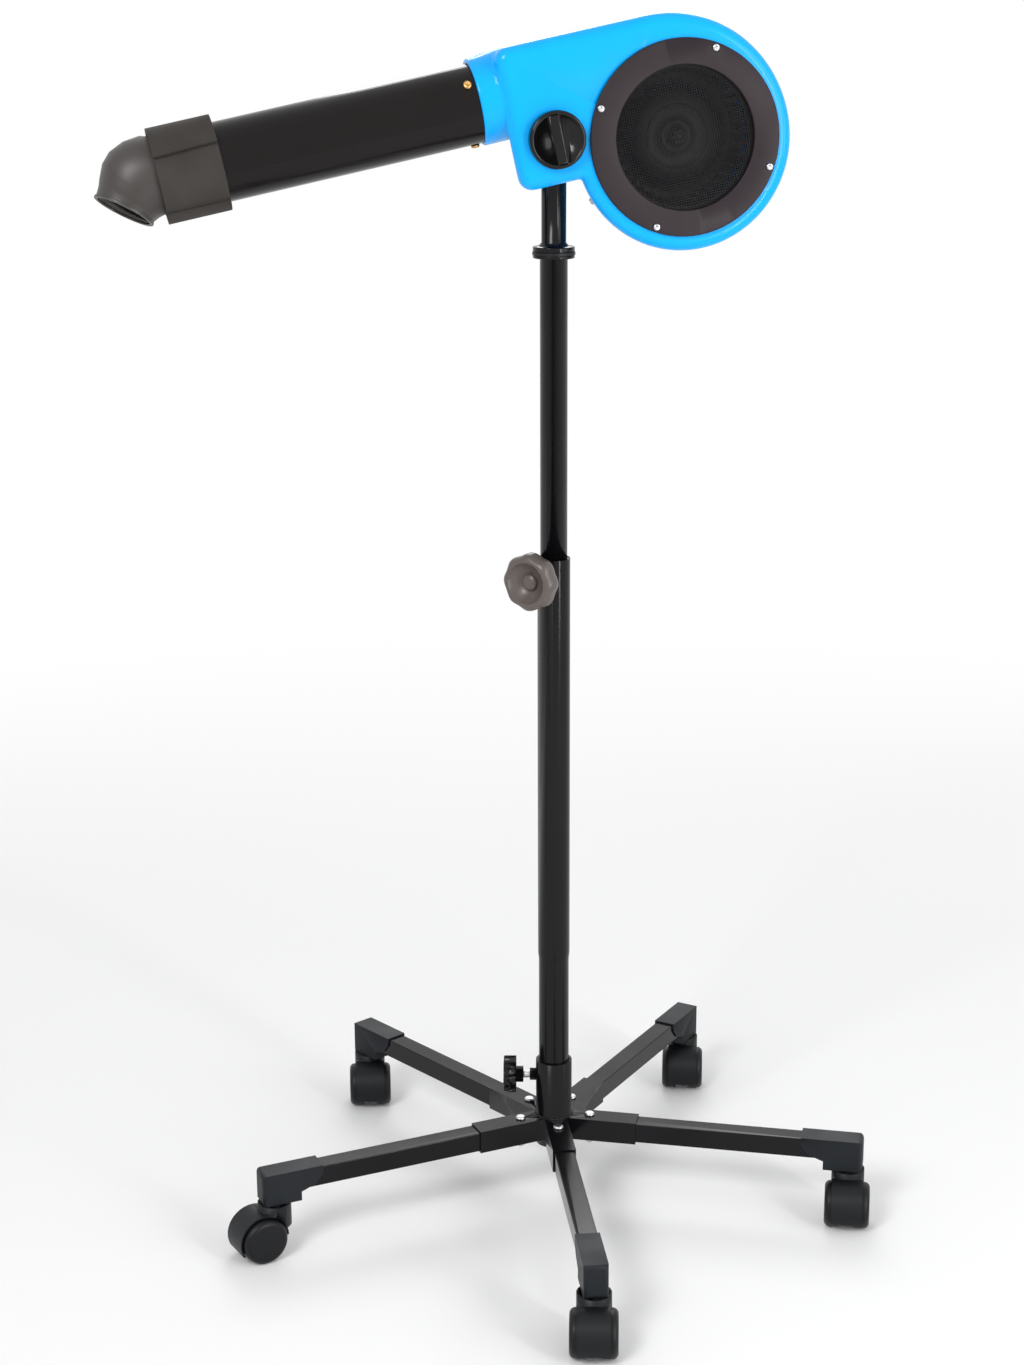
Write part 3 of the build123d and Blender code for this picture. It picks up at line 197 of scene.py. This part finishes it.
@dataclass(frozen=True)
class PaintedRingShadeFinish(Finish):
    """Pressed steel with painted shade: near black is painted into its stamped rings, as the shade that
    gathers in them, seen through the guard.

    Each ring is its inner and outer radius in metres, round an axis along Y.
    """

    axis_x: float = 0.0
    axis_z: float = 0.0
    rings: tuple[tuple[float, float], ...] = ((0.0155, 0.0205), (0.0310, 0.0335))
    soft: float = 0.0006
    # the near-black colour painted into the rings as shade
    ring_shade: str = "020202"

    def shaded(self, tree: bpy.types.NodeTree, tone: bpy.types.NodeSocket) -> bpy.types.NodeSocket:
        """Paint shade into the rings.

        Args:
            tree: The material's tree.
            tone: The colour before the painted ring shade.

        Returns:
            The colour with painted shade in its rings.
        """
        coords = add_node(tree, "ShaderNodeTexCoord").outputs["Object"]
        flat = add_node(tree, "ShaderNodeVectorMath", {1: (1.0, 0.0, 1.0)}, {0: coords},
                        operation="MULTIPLY")
        away = add_node(tree, "ShaderNodeVectorMath", {1: (self.axis_x, 0.0, self.axis_z)},
                        {0: flat.outputs[0]}, operation="DISTANCE")
        for inner, outer in self.rings:
            middle, half = (inner + outer) / 2, (outer - inner) / 2
            off = add_node(tree, "ShaderNodeMath", {1: middle}, {0: away.outputs["Value"]},
                           operation="SUBTRACT")
            size = add_node(tree, "ShaderNodeMath", links={0: off.outputs[0]}, operation="ABSOLUTE")
            # painted shade: 1 inside each stamped ring, where near black is mixed over the tone
            shade_mask = add_node(tree, "ShaderNodeMapRange", {
                "From Min": half - self.soft, "From Max": half + self.soft, "To Min": 1.0, "To Max": 0.0},
                {"Value": size.outputs[0]})
            mixed = add_node(tree, "ShaderNodeMix", {"B": linear(self.ring_shade)},
                             {"Factor": shade_mask.outputs["Result"], "A": tone}, data_type="RGBA")
            tone = mixed.outputs["Result"]
        return tone


# Stoved enamel on steel tube: deep black and glossy, with faint orange peel.
ENAMEL = Finish("black_stoved_enamel", "0a0a0c", "0f0f12", Grain.PAINTED, 1.6, 0.10, 0.16, specular=0.22)
# Moulded polypropylene: matt blue-black, with a grain drawn coarse enough to show.
CAP_PLASTIC = Finish("matt_moulded_polypropylene", "171b20", "12161a", Grain.MOULDED, 0.9, 0.35, 0.50)
# Moulded nylon of hoods and wheels: satin, with a finer grain.
CASTER_PLASTIC = Finish("satin_moulded_nylon", "121417", "0d0f12", Grain.MOULDED, 0.8, 0.30, 0.42)
# Tread: darker and a little smoother than the hood.
CASTER_TREAD = Finish("hard_caster_tread", "0f1013", "0b0c0f", Grain.MOULDED, 1.0, 0.25, 0.40)
# Bright zinc on steel: pale, with a soft drawn grain.
ZINC = Finish("bright_zinc_plate", "c9cacc", "b3b4b7", Grain.BRUSHED, 0.6, 0.15, 0.30, metallic=1.0)
# Yellow-passivated zinc: the same plate with a straw tint.
YELLOW_ZINC = Finish("yellow_passivated_zinc", "d6a86a", "c4935a", Grain.BRUSHED, 0.6, 0.15, 0.34,
                     metallic=1.0)
# Pressed phenolic: warm grey with a soft sheen.
KNOB_GREY = Finish("warm_grey_phenolic", "5d5450", "504845", Grain.MOULDED, 0.9, 0.20, 0.34,
                   specular=0.5)
# Polished ABS: near black, with sharp highlights.
KNOB_BLACK = Finish("gloss_black_abs", "070708", "0b0b0c", Grain.MOULDED, 1.4, 0.06, 0.16, specular=0.30)
# Turned nylon: dark and waxy.
NYLON = Finish("dark_turned_nylon", "121213", "18181a", Grain.MOULDED, 0.8, 0.2, 0.42)
# Gloss ABS shell: even blue with long soft waviness from the mould.
BLUE_ABS = Finish("gloss_blue_abs", "00b2ff", "00a4fb", Grain.PAINTED, 4.0, 0.04, 0.20, specular=0.24)
# Satin paint on the intake ring: black with a faint plum cast.
RING_PAINT = Finish("satin_black_paint", "20171c", "281e23", Grain.PAINTED, 0.8, 0.20, 0.42)
# Dip coat on the guard's wires: dark, soft and even.
GUARD_COAT = Finish("black_dip_coated_wire", "0c0c0e", "131316", Grain.PAINTED, 0.7, 0.2, 0.5)
# Pressed steel of the fan's plate: charcoal, a tone lighter than the guard, with near-black shade painted
# into its stamped rings.
FAN_BLACK_RING_SHADE = PaintedRingShadeFinish("black_pressed_steel_ring_shade", "201f20", "282728", Grain.PAINTED, 1.2, 0.2, 0.38)
# Sprayed motor paint: grey-black, low sheen.
MOTOR_PAINT = Finish("grey_black_motor_paint", "1c1c1e", "171719", Grain.PAINTED, 1.0, 0.25, 0.46)
# Stacked laminations under varnish: dull brown-grey metal.
LAMINATION = Finish("varnished_steel_laminations", "4b4845", "3c3937", Grain.BRUSHED, 0.5, 0.4, 0.5,
                    metallic=0.7)
# Enamel on the outlet tube: warm black, as glossy as the stand.
TUBE_ENAMEL = Finish("gloss_black_tube_enamel", "0c0807", "120e0d", Grain.PAINTED, 2.2, 0.08, 0.15,
                     specular=0.22)
# Mica board: pale, flaky and dry.
MICA = Finish("pressed_mica_board", "b8ab90", "a3967c", Grain.MOULDED, 1.5, 0.4, 0.7)
# Drawn wire: mid-grey bare metal.
HEATER_WIRE = Finish("drawn_resistance_wire", "7c7874", "686460", Grain.BRUSHED, 0.5, 0.2, 0.4,
                     metallic=1.0)
# Moulded nozzle: dark warm grey with a broad satin highlight.
NOZZLE_GREY = Finish("satin_dark_grey_plastic", "37322f", "2f2a28", Grain.MOULDED, 1.1, 0.20, 0.40,
                     specular=0.6)
# Rubber strip: chalky dark grey, no highlight.
BAND_RUBBER = Finish("butyl_rubber_wrap", "3f3b38", "322f2d", Grain.RUBBER, 1.4, 0.60, 0.75)

SLOT_FINISHES: dict[str, Finish] = {
    "stand_paint": ENAMEL, "leg_cap": CAP_PLASTIC, "caster_plastic": CASTER_PLASTIC,
    "caster_tread": CASTER_TREAD, "fastener_steel": ZINC, "zinc_yellow": YELLOW_ZINC,
    "mast_knob": KNOB_GREY, "black_knob": KNOB_BLACK, "nylon": NYLON, "housing_blue": BLUE_ABS,
    "ring_black": RING_PAINT, "mesh_black": GUARD_COAT, "fan_metal": FAN_BLACK_RING_SHADE,
    "motor_steel": MOTOR_PAINT, "lamination": LAMINATION, "tube_black": TUBE_ENAMEL, "mica": MICA,
    "heater_wire": HEATER_WIRE, "nozzle_grey": NOZZLE_GREY, "band_rubber": BAND_RUBBER,
}


@dataclass
class Wardrobe:
    """The finishes of the record's slots, each built once."""

    made: dict[str, bpy.types.Material] = field(default_factory=dict)

    def get(self, finish: Finish) -> bpy.types.Material:
        """Give a finish's material, making it the first time."""
        if finish.name not in self.made:
            self.made[finish.name] = finish.build()
        return self.made[finish.name]


@dataclass
class Skins:
    """Smooth-shaded copies of the frame's nodes, which stand for them."""

    frame: dict
    wardrobe: Wardrobe
    skipped: tuple[str, ...] = ()
    special: dict[str, Finish] = field(default_factory=dict)

    def build(self) -> int:
        """Make one skin for each node that no finer piece replaces.

        Returns:
            How many skins were made.
        """
        record = self.frame["record"]
        slots = {part["node"]: part["material_slot"] for part in record["subparts"]}
        count = 0
        for body, nodes in record["behaviour"]["bodies"].items():
            for node in nodes:
                if node in self.skipped:
                    continue
                self.skin(node, body, slots[node])
                count += 1
        return count

    def skin(self, node: str, body: str, slot: str) -> bpy.types.Object:
        """Copy, merge, smooth and dress one node.

        Args:
            node: The node's name.
            body: The body it rides on.
            slot: Its material slot in the record.

        Returns:
            The new piece.
        """
        mesh = self.frame["nodes"][node].data.copy()
        mesh.name = f"{node}_skin"
        form = bmesh.new()
        form.from_mesh(mesh)
        bmesh.ops.remove_doubles(form, verts=form.verts, dist=MERGE_DISTANCE)
        form.to_mesh(mesh)
        form.free()
        mesh.polygons.foreach_set("use_smooth", [True] * len(mesh.polygons))
        mesh.set_sharp_from_angle(angle=SMOOTH_ANGLE)
        mesh.materials.clear()
        mesh.materials.append(self.wardrobe.get(self.special.get(node, SLOT_FINISHES[slot])))
        piece = bpy.data.objects.new(f"{node}_skin", mesh)
        bpy.context.scene.collection.objects.link(piece)
        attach(piece, body)
        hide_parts(node)
        return piece


def baked(name: str, tree: bpy.types.NodeTree, values: dict[str, object],
          place: Matrix) -> bpy.types.Object:
    """Run a geometry tree and keep its result as a plain mesh.

    Args:
        name: The piece's name.
        tree: The geometry tree.
        values: Named inputs of the tree.
        place: Where the result goes; it is put into the mesh.

    Returns:
        The piece, at the origin and unturned.
    """
    holder = bpy.data.objects.new(f"{name}_maker", bpy.data.meshes.new(f"{name}_maker"))
    bpy.context.scene.collection.objects.link(holder)
    modifier = holder.modifiers.new("make", "NODES")
    modifier.node_group = tree
    for item in tree.interface.items_tree:
        if item.item_type == "SOCKET" and item.in_out == "INPUT" and item.name in values:
            modifier[item.identifier] = values[item.name]
    graph = bpy.context.evaluated_depsgraph_get()
    mesh = bpy.data.meshes.new_from_object(holder.evaluated_get(graph))
    bpy.data.objects.remove(holder)
    mesh.name = name
    finish = next(slot for slot in mesh.materials if slot)
    mesh.materials.clear()
    mesh.materials.append(finish)
    mesh.polygons.foreach_set("material_index", [0] * len(mesh.polygons))
    mesh.transform(place)
    piece = bpy.data.objects.new(name, mesh)
    bpy.context.scene.collection.objects.link(piece)
    return piece


def joint_line(frame: dict, name: str) -> tuple[Vector, Vector]:
    """Give a joint's point and unit axis at rest.

    Args:
        name: The joint's name.

    Returns:
        A point on the axis, and its direction.
    """
    joint = next(j for j in frame["joints"] if j["name"] == name)
    return Vector(joint["pos_m"]), Vector(joint["axis"]).normalized()


def piece_from(name: str, form: bmesh.types.BMesh, material: bpy.types.Material) -> bpy.types.Object:
    """Turn a form into a smooth-shaded piece at the origin.

    Args:
        name: The piece's name.
        form: The closed form, which is freed.
        material: Its finish.

    Returns:
        The piece.
    """
    bmesh.ops.recalc_face_normals(form, faces=form.faces)
    mesh = bpy.data.meshes.new(name)
    form.to_mesh(mesh)
    form.free()
    mesh.polygons.foreach_set("use_smooth", [True] * len(mesh.polygons))
    mesh.set_sharp_from_angle(angle=SMOOTH_ANGLE)
    mesh.materials.append(material)
    piece = bpy.data.objects.new(name, mesh)
    bpy.context.scene.collection.objects.link(piece)
    return piece


def new_tree(name: str, inputs: dict[str, tuple[str, object]]) -> tuple:
    """Start a geometry tree with named inputs.

    Args:
        name: The tree's name.
        inputs: Input name to its socket type and default.

    Returns:
        The tree and its input node.
    """
    tree = bpy.data.node_groups.new(name, "GeometryNodeTree")
    tree.interface.new_socket("Geometry", in_out="OUTPUT", socket_type="NodeSocketGeometry")
    for label, (kind, default) in inputs.items():
        socket = tree.interface.new_socket(label, in_out="INPUT", socket_type=kind)
        if default is not None:
            socket.default_value = default
    return tree, add_node(tree, "NodeGroupInput")


def close_tree(tree: bpy.types.NodeTree, shape: bpy.types.NodeSocket,
               material: bpy.types.NodeSocket) -> None:
    """End a tree in Realize Instances and Set Material.

    Args:
        tree: The tree.
        shape: The geometry made so far.
        material: The tree's material input.
    """
    real = add_node(tree, "GeometryNodeRealizeInstances", links={"Geometry": shape})
    dressed = add_node(tree, "GeometryNodeSetMaterial",
                       links={"Geometry": real.outputs[0], "Material": material})
    add_node(tree, "NodeGroupOutput", links={0: dressed.outputs[0]})


@dataclass
class IntakeGuard:
    """Fine wire cloth across the intake, clipped to its rim. Lengths are in metres."""

    wardrobe: Wardrobe
    pitch: float = 0.0024
    wire: float = 0.0006
    rim_gap: float = 0.0006
    tilt: float = math.radians(12)

    def tree(self) -> bpy.types.NodeTree:
        """Lay one run of wires, each as long as the circle is wide there, then a crossing run."""
        tree, given = new_tree("wire_cloth", {
            "Radius": ("NodeSocketFloat", 0.07), "Pitch": ("NodeSocketFloat", 0.003),
            "Wire": ("NodeSocketFloat", 0.0008), "Count": ("NodeSocketInt", 40),
            "Material": ("NodeSocketMaterial", None)})
        out = given.outputs
        low = add_node(tree, "ShaderNodeMath", {1: -1.0}, {0: out["Radius"]}, operation="MULTIPLY")
        start = add_node(tree, "ShaderNodeCombineXYZ", links={"Y": low.outputs[0]})
        step = add_node(tree, "ShaderNodeCombineXYZ", links={"Y": out["Pitch"]})
        line = add_node(tree, "GeometryNodeMeshLine", links={
            "Count": out["Count"], "Start Location": start.outputs[0], "Offset": step.outputs[0]})
        spot = add_node(tree, "GeometryNodeInputPosition")
        axes = add_node(tree, "ShaderNodeSeparateXYZ", links={0: spot.outputs[0]})
        near = add_node(tree, "ShaderNodeMath", links={0: axes.outputs["Y"], 1: axes.outputs["Y"]},
                        operation="MULTIPLY")
        full = add_node(tree, "ShaderNodeMath", links={0: out["Radius"], 1: out["Radius"]},
                        operation="MULTIPLY")
        rest = add_node(tree, "ShaderNodeMath", links={0: full.outputs[0], 1: near.outputs[0]},
                        operation="SUBTRACT")
        safe = add_node(tree, "ShaderNodeMath", {1: 1e-7}, {0: rest.outputs[0]}, operation="MAXIMUM")
        half = add_node(tree, "ShaderNodeMath", links={0: safe.outputs[0]}, operation="SQRT")
        span = add_node(tree, "ShaderNodeMath", {1: 2.0}, {0: half.outputs[0]}, operation="MULTIPLY")
        size = add_node(tree, "ShaderNodeCombineXYZ", links={
            "X": span.outputs[0], "Y": out["Wire"], "Z": out["Wire"]})
        bar = add_node(tree, "GeometryNodeMeshCube", {"Size": (1.0, 1.0, 1.0)})
        wires = add_node(tree, "GeometryNodeInstanceOnPoints", links={
            "Points": line.outputs[0], "Instance": bar.outputs[0], "Scale": size.outputs[0]})
        crossing = add_node(tree, "GeometryNodeTransform", {"Rotation": (0.0, 0.0, math.pi / 2)},
                            {"Geometry": wires.outputs[0]})
        cloth = add_node(tree, "GeometryNodeJoinGeometry")
        tree.links.new(wires.outputs[0], cloth.inputs[0])
        tree.links.new(crossing.outputs[0], cloth.inputs[0])
        close_tree(tree, cloth.outputs[0], out["Material"])
        return tree

    def build(self) -> bpy.types.Object:
        """Make the guard at the place of the frame's intake mesh.

        Returns:
            The guard, which stands for the frame's node.
        """
        low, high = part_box("intake_mesh")
        centre = (low + high) / 2
        radius = (high.x - low.x) / 2 - self.rim_gap
        place = (Matrix.Translation(centre) @ Matrix.Rotation(-self.tilt, 4, "Y")
                 @ Matrix.Rotation(math.pi / 2, 4, "X"))
        count = int(2 * radius / self.pitch) + 1
        piece = baked("intake_guard_cloth", self.tree(), {
            "Radius": radius, "Pitch": 2 * radius / (count - 1), "Wire": self.wire, "Count": count,
            "Material": self.wardrobe.get(GUARD_COAT)}, place)
        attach(piece, "head")
        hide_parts("intake_mesh")
        return piece


@dataclass
class WeldBeads:
    """Painted weld beads, laid as a ring of short overlapping ripples.

    The rings' heights are given over the top of a leg and over the swivel's washer.
    """

    wardrobe: Wardrobe
    bead: float = 0.0016
    spacing: float = 0.0018
    socket_radius: float = 0.0203
    stem_radius: float = 0.0135
    over_stub: float = 0.0019
    over_washer: float = 0.0058

    def tree(self) -> bpy.types.NodeTree:
        """Set ripples round a circle."""
        tree, given = new_tree("weld_ring", {
            "Radius": ("NodeSocketFloat", 0.02), "Bead": ("NodeSocketFloat", 0.0016),
            "Count": ("NodeSocketInt", 60), "Material": ("NodeSocketMaterial", None)})
        out = given.outputs
        ring = add_node(tree, "GeometryNodeMeshCircle", links={
            "Vertices": out["Count"], "Radius": out["Radius"]})
        ripple = add_node(tree, "GeometryNodeMeshIcoSphere", {"Subdivisions": 2},
                          {"Radius": out["Bead"]})
        beads = add_node(tree, "GeometryNodeInstanceOnPoints", links={
            "Points": ring.outputs[0], "Instance": ripple.outputs[0]})
        smooth = add_node(tree, "GeometryNodeSetShadeSmooth", links={0: beads.outputs[0]})
        close_tree(tree, smooth.outputs[0], out["Material"])
        return tree

    def build(self) -> list[bpy.types.Object]:
        """Bead the socket's foot on the stubs and the stem on its flange.

        Returns:
            The two rings.
        """
        tree = self.tree()
        socket_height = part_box("leg_1")[1].z + self.over_stub
        stem_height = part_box("swivel_washer")[1].z + self.over_washer
        rings = (("socket_weld", "base", self.socket_radius, socket_height),
                 ("stem_weld", "stem", self.stem_radius, stem_height))
        made = []
        for name, body, radius, height in rings:
            piece = baked(name, tree, {
                "Radius": radius, "Bead": self.bead, "Count": int(2 * math.pi * radius / self.spacing),
                "Material": self.wardrobe.get(ENAMEL)}, Matrix.Translation((0.0, 0.0, height)))
            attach(piece, body)
            made.append(piece)
        return made


@dataclass
class MastKnob:
    """Moulded clamp knob: wide dished face, centre boss and shallow lobes.

    The lobes grow from nothing at lobe_from to their full depth at lobe_full.
    """

    frame: dict
    wardrobe: Wardrobe
    back: float = 0.032
    lobes: int = 8
    lobe_depth: float = 0.0011
    lobe_from: float = 0.0235
    lobe_full: float = 0.0298
    steps: int = 128
    # radius, then height above the back, from the back's edge round to the boss
    profile: tuple[tuple[float, float], ...] = (
        (0.0215, 0.0), (0.0262, 0.0012), (0.0287, 0.0040), (0.0298, 0.0080), (0.0298, 0.0135),
        (0.0290, 0.0175), (0.0272, 0.0202), (0.0250, 0.0216), (0.0232, 0.0219), (0.0218, 0.0214),
        (0.0206, 0.0196), (0.0150, 0.0145), (0.0108, 0.0118), (0.0094, 0.0115), (0.0089, 0.0128),
        (0.0084, 0.0152), (0.0070, 0.0166), (0.0045, 0.0172))

    def build(self) -> bpy.types.Object:
        """Turn the profile round the clamp's axis.

        Returns:
            The knob, which stands for the frame's node.
        """
        start, axis = joint_line(self.frame, "column_clamp_turn")
        foot = Vector((0.0, 0.0, start.z)) + axis * self.back
        side = axis.cross(Vector((0.0, 0.0, 1.0))).normalized()
        up = side.cross(axis)
        form = bmesh.new()
        rings = []
        for radius, height in self.profile:
            weight = (radius - self.lobe_from) / (self.lobe_full - self.lobe_from)
            weight = min(1.0, max(0.0, weight))
            ring = []
            for k in range(self.steps):
                turn = 2 * math.pi * k / self.steps
                reach = radius + weight * self.lobe_depth * math.cos(self.lobes * turn)
                out = side * math.cos(turn) + up * math.sin(turn)
                ring.append(form.verts.new(foot + axis * height + out * reach))
            rings.append(ring)
        for near, far in zip(rings, rings[1:]):
            for k in range(self.steps):
                after = (k + 1) % self.steps
                form.faces.new((near[k], near[after], far[after], far[k]))
        form.faces.new(rings[0])
        form.faces.new(rings[-1])
        piece = piece_from("mast_knob_moulding", form, self.wardrobe.get(KNOB_GREY))
        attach(piece, "column_knob")
        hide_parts("column_clamp_knob")
        return piece


@dataclass
class BandWrap:
    """Rubber strip wrapped on the tube's end.

    A full turn lies under an outer one, which runs from its cut edge at the front, over the top
    and behind, to its tail below the front. Turns are measured from the front, upwards.
    """

    frame: dict
    wardrobe: Wardrobe
    start: float = 0.3300
    end: float = 0.3935
    bore_start: float = 0.0395
    bore_end: float = 0.0412
    inner_top: float = 0.0435
    outer_top: float = 0.0472
    cut_start: float = math.radians(30)
    cut_end: float = math.radians(27)
    tail: float = math.radians(307)
    # how far the cut edge wanders, and how fast along the tube; then how far its lip lifts
    fray: float = 0.00060
    fray_pace: float = 900.0
    curl: tuple[float, ...] = (0.0009, 0.0005, 0.0001)
    lap_gap: float = 0.0001
    steps: int = 120
    rows: int = 48

    def sheet(self, form: bmesh.types.BMesh, low: tuple[float, float], high: float,
              closed: bool) -> None:
        """Add one turn of the strip, as a closed form.

        Args:
            form: The form that takes it.
            low: Inner radius at the band's start and end.
            high: Outer radius.
            closed: Whether the turn goes all the way round.
        """
        point, axis = joint_line(self.frame, "nozzle_turn")
        front = Vector((0.0, -1.0, 0.0))
        up = front.cross(axis).normalized()
        up = up if up.z > 0 else -up
        grid = {}
        for i in range(self.rows + 1):
            part = i / self.rows
            along = self.start + (self.end - self.start) * part
            cut = self.cut_start + (self.cut_end - self.cut_start) * part
            cut += self.fray / high * noise.noise(Vector((along * self.fray_pace, 0.0, 0.0)))
            span = 2 * math.pi if closed else self.tail - cut
            for j in range(self.steps if closed else self.steps + 1):
                turn = (0.0 if closed else cut) + span * j / self.steps
                lift = self.curl[j] if not closed and j < len(self.curl) else 0.0
                out = front * math.cos(turn) + up * math.sin(turn)
                for layer, radius in enumerate((low[0] + (low[1] - low[0]) * part, high)):
                    grid[i, j, layer] = form.verts.new(point + axis * along + out * (radius + lift))
        for j in range(self.steps):
            k = (j + 1) % self.steps if closed else j + 1
            for i in range(self.rows):
                for layer in (0, 1):
                    form.faces.new((grid[i, j, layer], grid[i, k, layer], grid[i + 1, k, layer],
                                    grid[i + 1, j, layer]))
            for i in (0, self.rows):
                form.faces.new((grid[i, j, 0], grid[i, k, 0], grid[i, k, 1], grid[i, j, 1]))
        if not closed:
            for j in (0, self.steps):
                for i in range(self.rows):
                    form.faces.new((grid[i, j, 0], grid[i + 1, j, 0], grid[i + 1, j, 1],
                                    grid[i, j, 1]))

    def build(self) -> bpy.types.Object:
        """Wrap both turns.

        Returns:
            The band, which stands for the frame's node.
        """
        form = bmesh.new()
        self.sheet(form, (self.bore_start, self.bore_end), self.inner_top, True)
        lap = self.inner_top + self.lap_gap
        self.sheet(form, (lap, lap), self.outer_top, False)
        piece = piece_from("rubber_band_wrap", form, self.wardrobe.get(BAND_RUBBER))
        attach(piece, "head")
        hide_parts("nozzle_band")
        return piece


@dataclass
class Studio:
    """Camera, soft lamps, and a pale floor that fades into the background.

    Lengths are in metres. A lamp is its name, place, target, watts, width and height.
    """

    place: tuple[float, float, float] = (-0.4957, -2.4147, 1.301)
    azimuth: float = math.radians(-11.6)
    pitch: float = math.radians(15.92)
    lens: float = 63.3
    shift_x: float = -0.0306
    soft_light: float = 0.48
    floor_reach: float = 30.0
    fade_near: float = 0.7
    fade_far: float = 2.6
    lights: tuple[tuple, ...] = (
        ("key", (-2.2, -2.4, 2.9), (0.0, 0.0, 0.9), 74.0, 1.3, 1.3),
        ("fill", (2.4, -2.0, 1.7), (0.0, 0.0, 0.7), 26.0, 2.0, 2.0),
        ("strip", (1.25, -2.2, 0.9), (0.0, 0.0, 0.9), 22.0, 0.22, 1.8),
        ("rim", (0.6, 2.6, 2.6), (0.0, 0.0, 0.8), 34.0, 1.6, 1.6))

    def camera(self) -> None:
        """Set the camera; its shift is only what the framing needs."""
        data = bpy.data.cameras.new("camera")
        data.lens = self.lens
        data.sensor_width = 36.0
        data.shift_x = self.shift_x
        data.dof.use_dof = False
        camera = bpy.data.objects.new("camera", data)
        camera.location = self.place
        camera.rotation_euler = (math.pi / 2 - self.pitch, 0.0, self.azimuth)
        bpy.context.scene.collection.objects.link(camera)
        bpy.context.scene.camera = camera

    def lamps(self) -> None:
        """Hang four soft lamps: a key from the left front, a fill, a tall strip and a rim."""
        for name, at, target, watts, wide, high in self.lights:
            data = bpy.data.lights.new(name, "AREA")
            data.shape = "RECTANGLE"
            data.energy, data.size, data.size_y = watts, wide, high
            lamp = bpy.data.objects.new(name, data)
            lamp.location = at
            lamp.rotation_euler = (Vector(target) - Vector(at)).to_track_quat("-Z", "Y").to_euler()
            bpy.context.scene.collection.objects.link(lamp)

    def seen(self, tree: bpy.types.NodeTree) -> bpy.types.NodeSocket:
        """Give 1 for rays that show a background: camera, glossy and transmission rays."""
        path = add_node(tree, "ShaderNodeLightPath")
        first = add_node(tree, "ShaderNodeMath", links={
            0: path.outputs["Is Camera Ray"], 1: path.outputs["Is Glossy Ray"]}, operation="MAXIMUM")
        both = add_node(tree, "ShaderNodeMath", links={
            0: first.outputs[0], 1: path.outputs["Is Transmission Ray"]}, operation="MAXIMUM")
        return both.outputs[0]

    def world(self) -> None:
        """Light softly from all round, and show white behind."""
        world = bpy.data.worlds.new("studio")
        bpy.context.scene.world = world
        world.use_nodes = True
        tree = world.node_tree
        tree.nodes.clear()
        soft = add_node(tree, "ShaderNodeBackground", {"Color": WHITE, "Strength": self.soft_light})
        white = add_node(tree, "ShaderNodeBackground", {"Color": WHITE, "Strength": 1.0})
        mixed = add_node(tree, "ShaderNodeMixShader", links={
            0: self.seen(tree), 1: soft.outputs[0], 2: white.outputs[0]})
        add_node(tree, "ShaderNodeOutputWorld", links={"Surface": mixed.outputs[0]})

    def floor(self) -> None:
        """Lay the floor: matt near the object, fading to white further off."""
        reach = self.floor_reach
        corners = [(-reach, -reach, 0), (reach, -reach, 0), (reach, reach, 0), (-reach, reach, 0)]
        mesh = bpy.data.meshes.new("floor")
        mesh.from_pydata(corners, [], [(0, 1, 2, 3)])
        material = bpy.data.materials.new("matt_studio_paper")
        material.use_nodes = True
        tree = material.node_tree
        tree.nodes.clear()
        coords = add_node(tree, "ShaderNodeTexCoord")
        away = add_node(tree, "ShaderNodeVectorMath", links={0: coords.outputs["Object"]},
                        operation="LENGTH")
        fade = add_node(tree, "ShaderNodeMapRange", {
            "From Min": self.fade_near, "From Max": self.fade_far},
            {"Value": away.outputs["Value"]}, interpolation_type="SMOOTHSTEP")
        factor = add_node(tree, "ShaderNodeMath", links={0: fade.outputs["Result"], 1: self.seen(tree)},
                          operation="MULTIPLY")
        paper = add_node(tree, "ShaderNodeBsdfPrincipled", {
            "Base Color": linear("f6f6f6"), "Roughness": 0.95, "Specular IOR Level": 0.0})
        glow = add_node(tree, "ShaderNodeEmission", {"Color": WHITE, "Strength": 1.0})
        mixed = add_node(tree, "ShaderNodeMixShader", links={
            0: factor.outputs[0], 1: paper.outputs[0], 2: glow.outputs[0]})
        add_node(tree, "ShaderNodeOutputMaterial", links={"Surface": mixed.outputs[0]})
        mesh.materials.append(material)
        floor = bpy.data.objects.new("floor", mesh)
        bpy.context.scene.collection.objects.link(floor)

    def build(self) -> None:
        """Set the whole studio."""
        self.camera()
        self.lamps()
        self.world()
        self.floor()
        bpy.context.scene.view_settings.view_transform = "Standard"


def main() -> None:
    """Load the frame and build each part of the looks."""
    logging.basicConfig(level=logging.INFO)
    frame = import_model()
    wardrobe = Wardrobe()
    Studio().build()
    fan_at, _ = joint_line(frame, "fan_spin")
    # the fan plate's painted ring shade is centred on the fan's axis
    shaded_plate = replace(FAN_BLACK_RING_SHADE, axis_x=fan_at.x, axis_z=fan_at.z)
    skins = Skins(frame, wardrobe, REPLACED, {"fan_wheel": shaded_plate, "fan_nut": MOTOR_PAINT})
    LOG.info("skins: %d", skins.build())
    LOG.info("piece: %s", MastKnob(frame, wardrobe).build().name)
    LOG.info("piece: %s", BandWrap(frame, wardrobe).build().name)
    LOG.info("piece: %s", IntakeGuard(wardrobe).build().name)
    for ring in WeldBeads(wardrobe).build():
        LOG.info("piece: %s", ring.name)


if __name__ == "__main__":
    main()
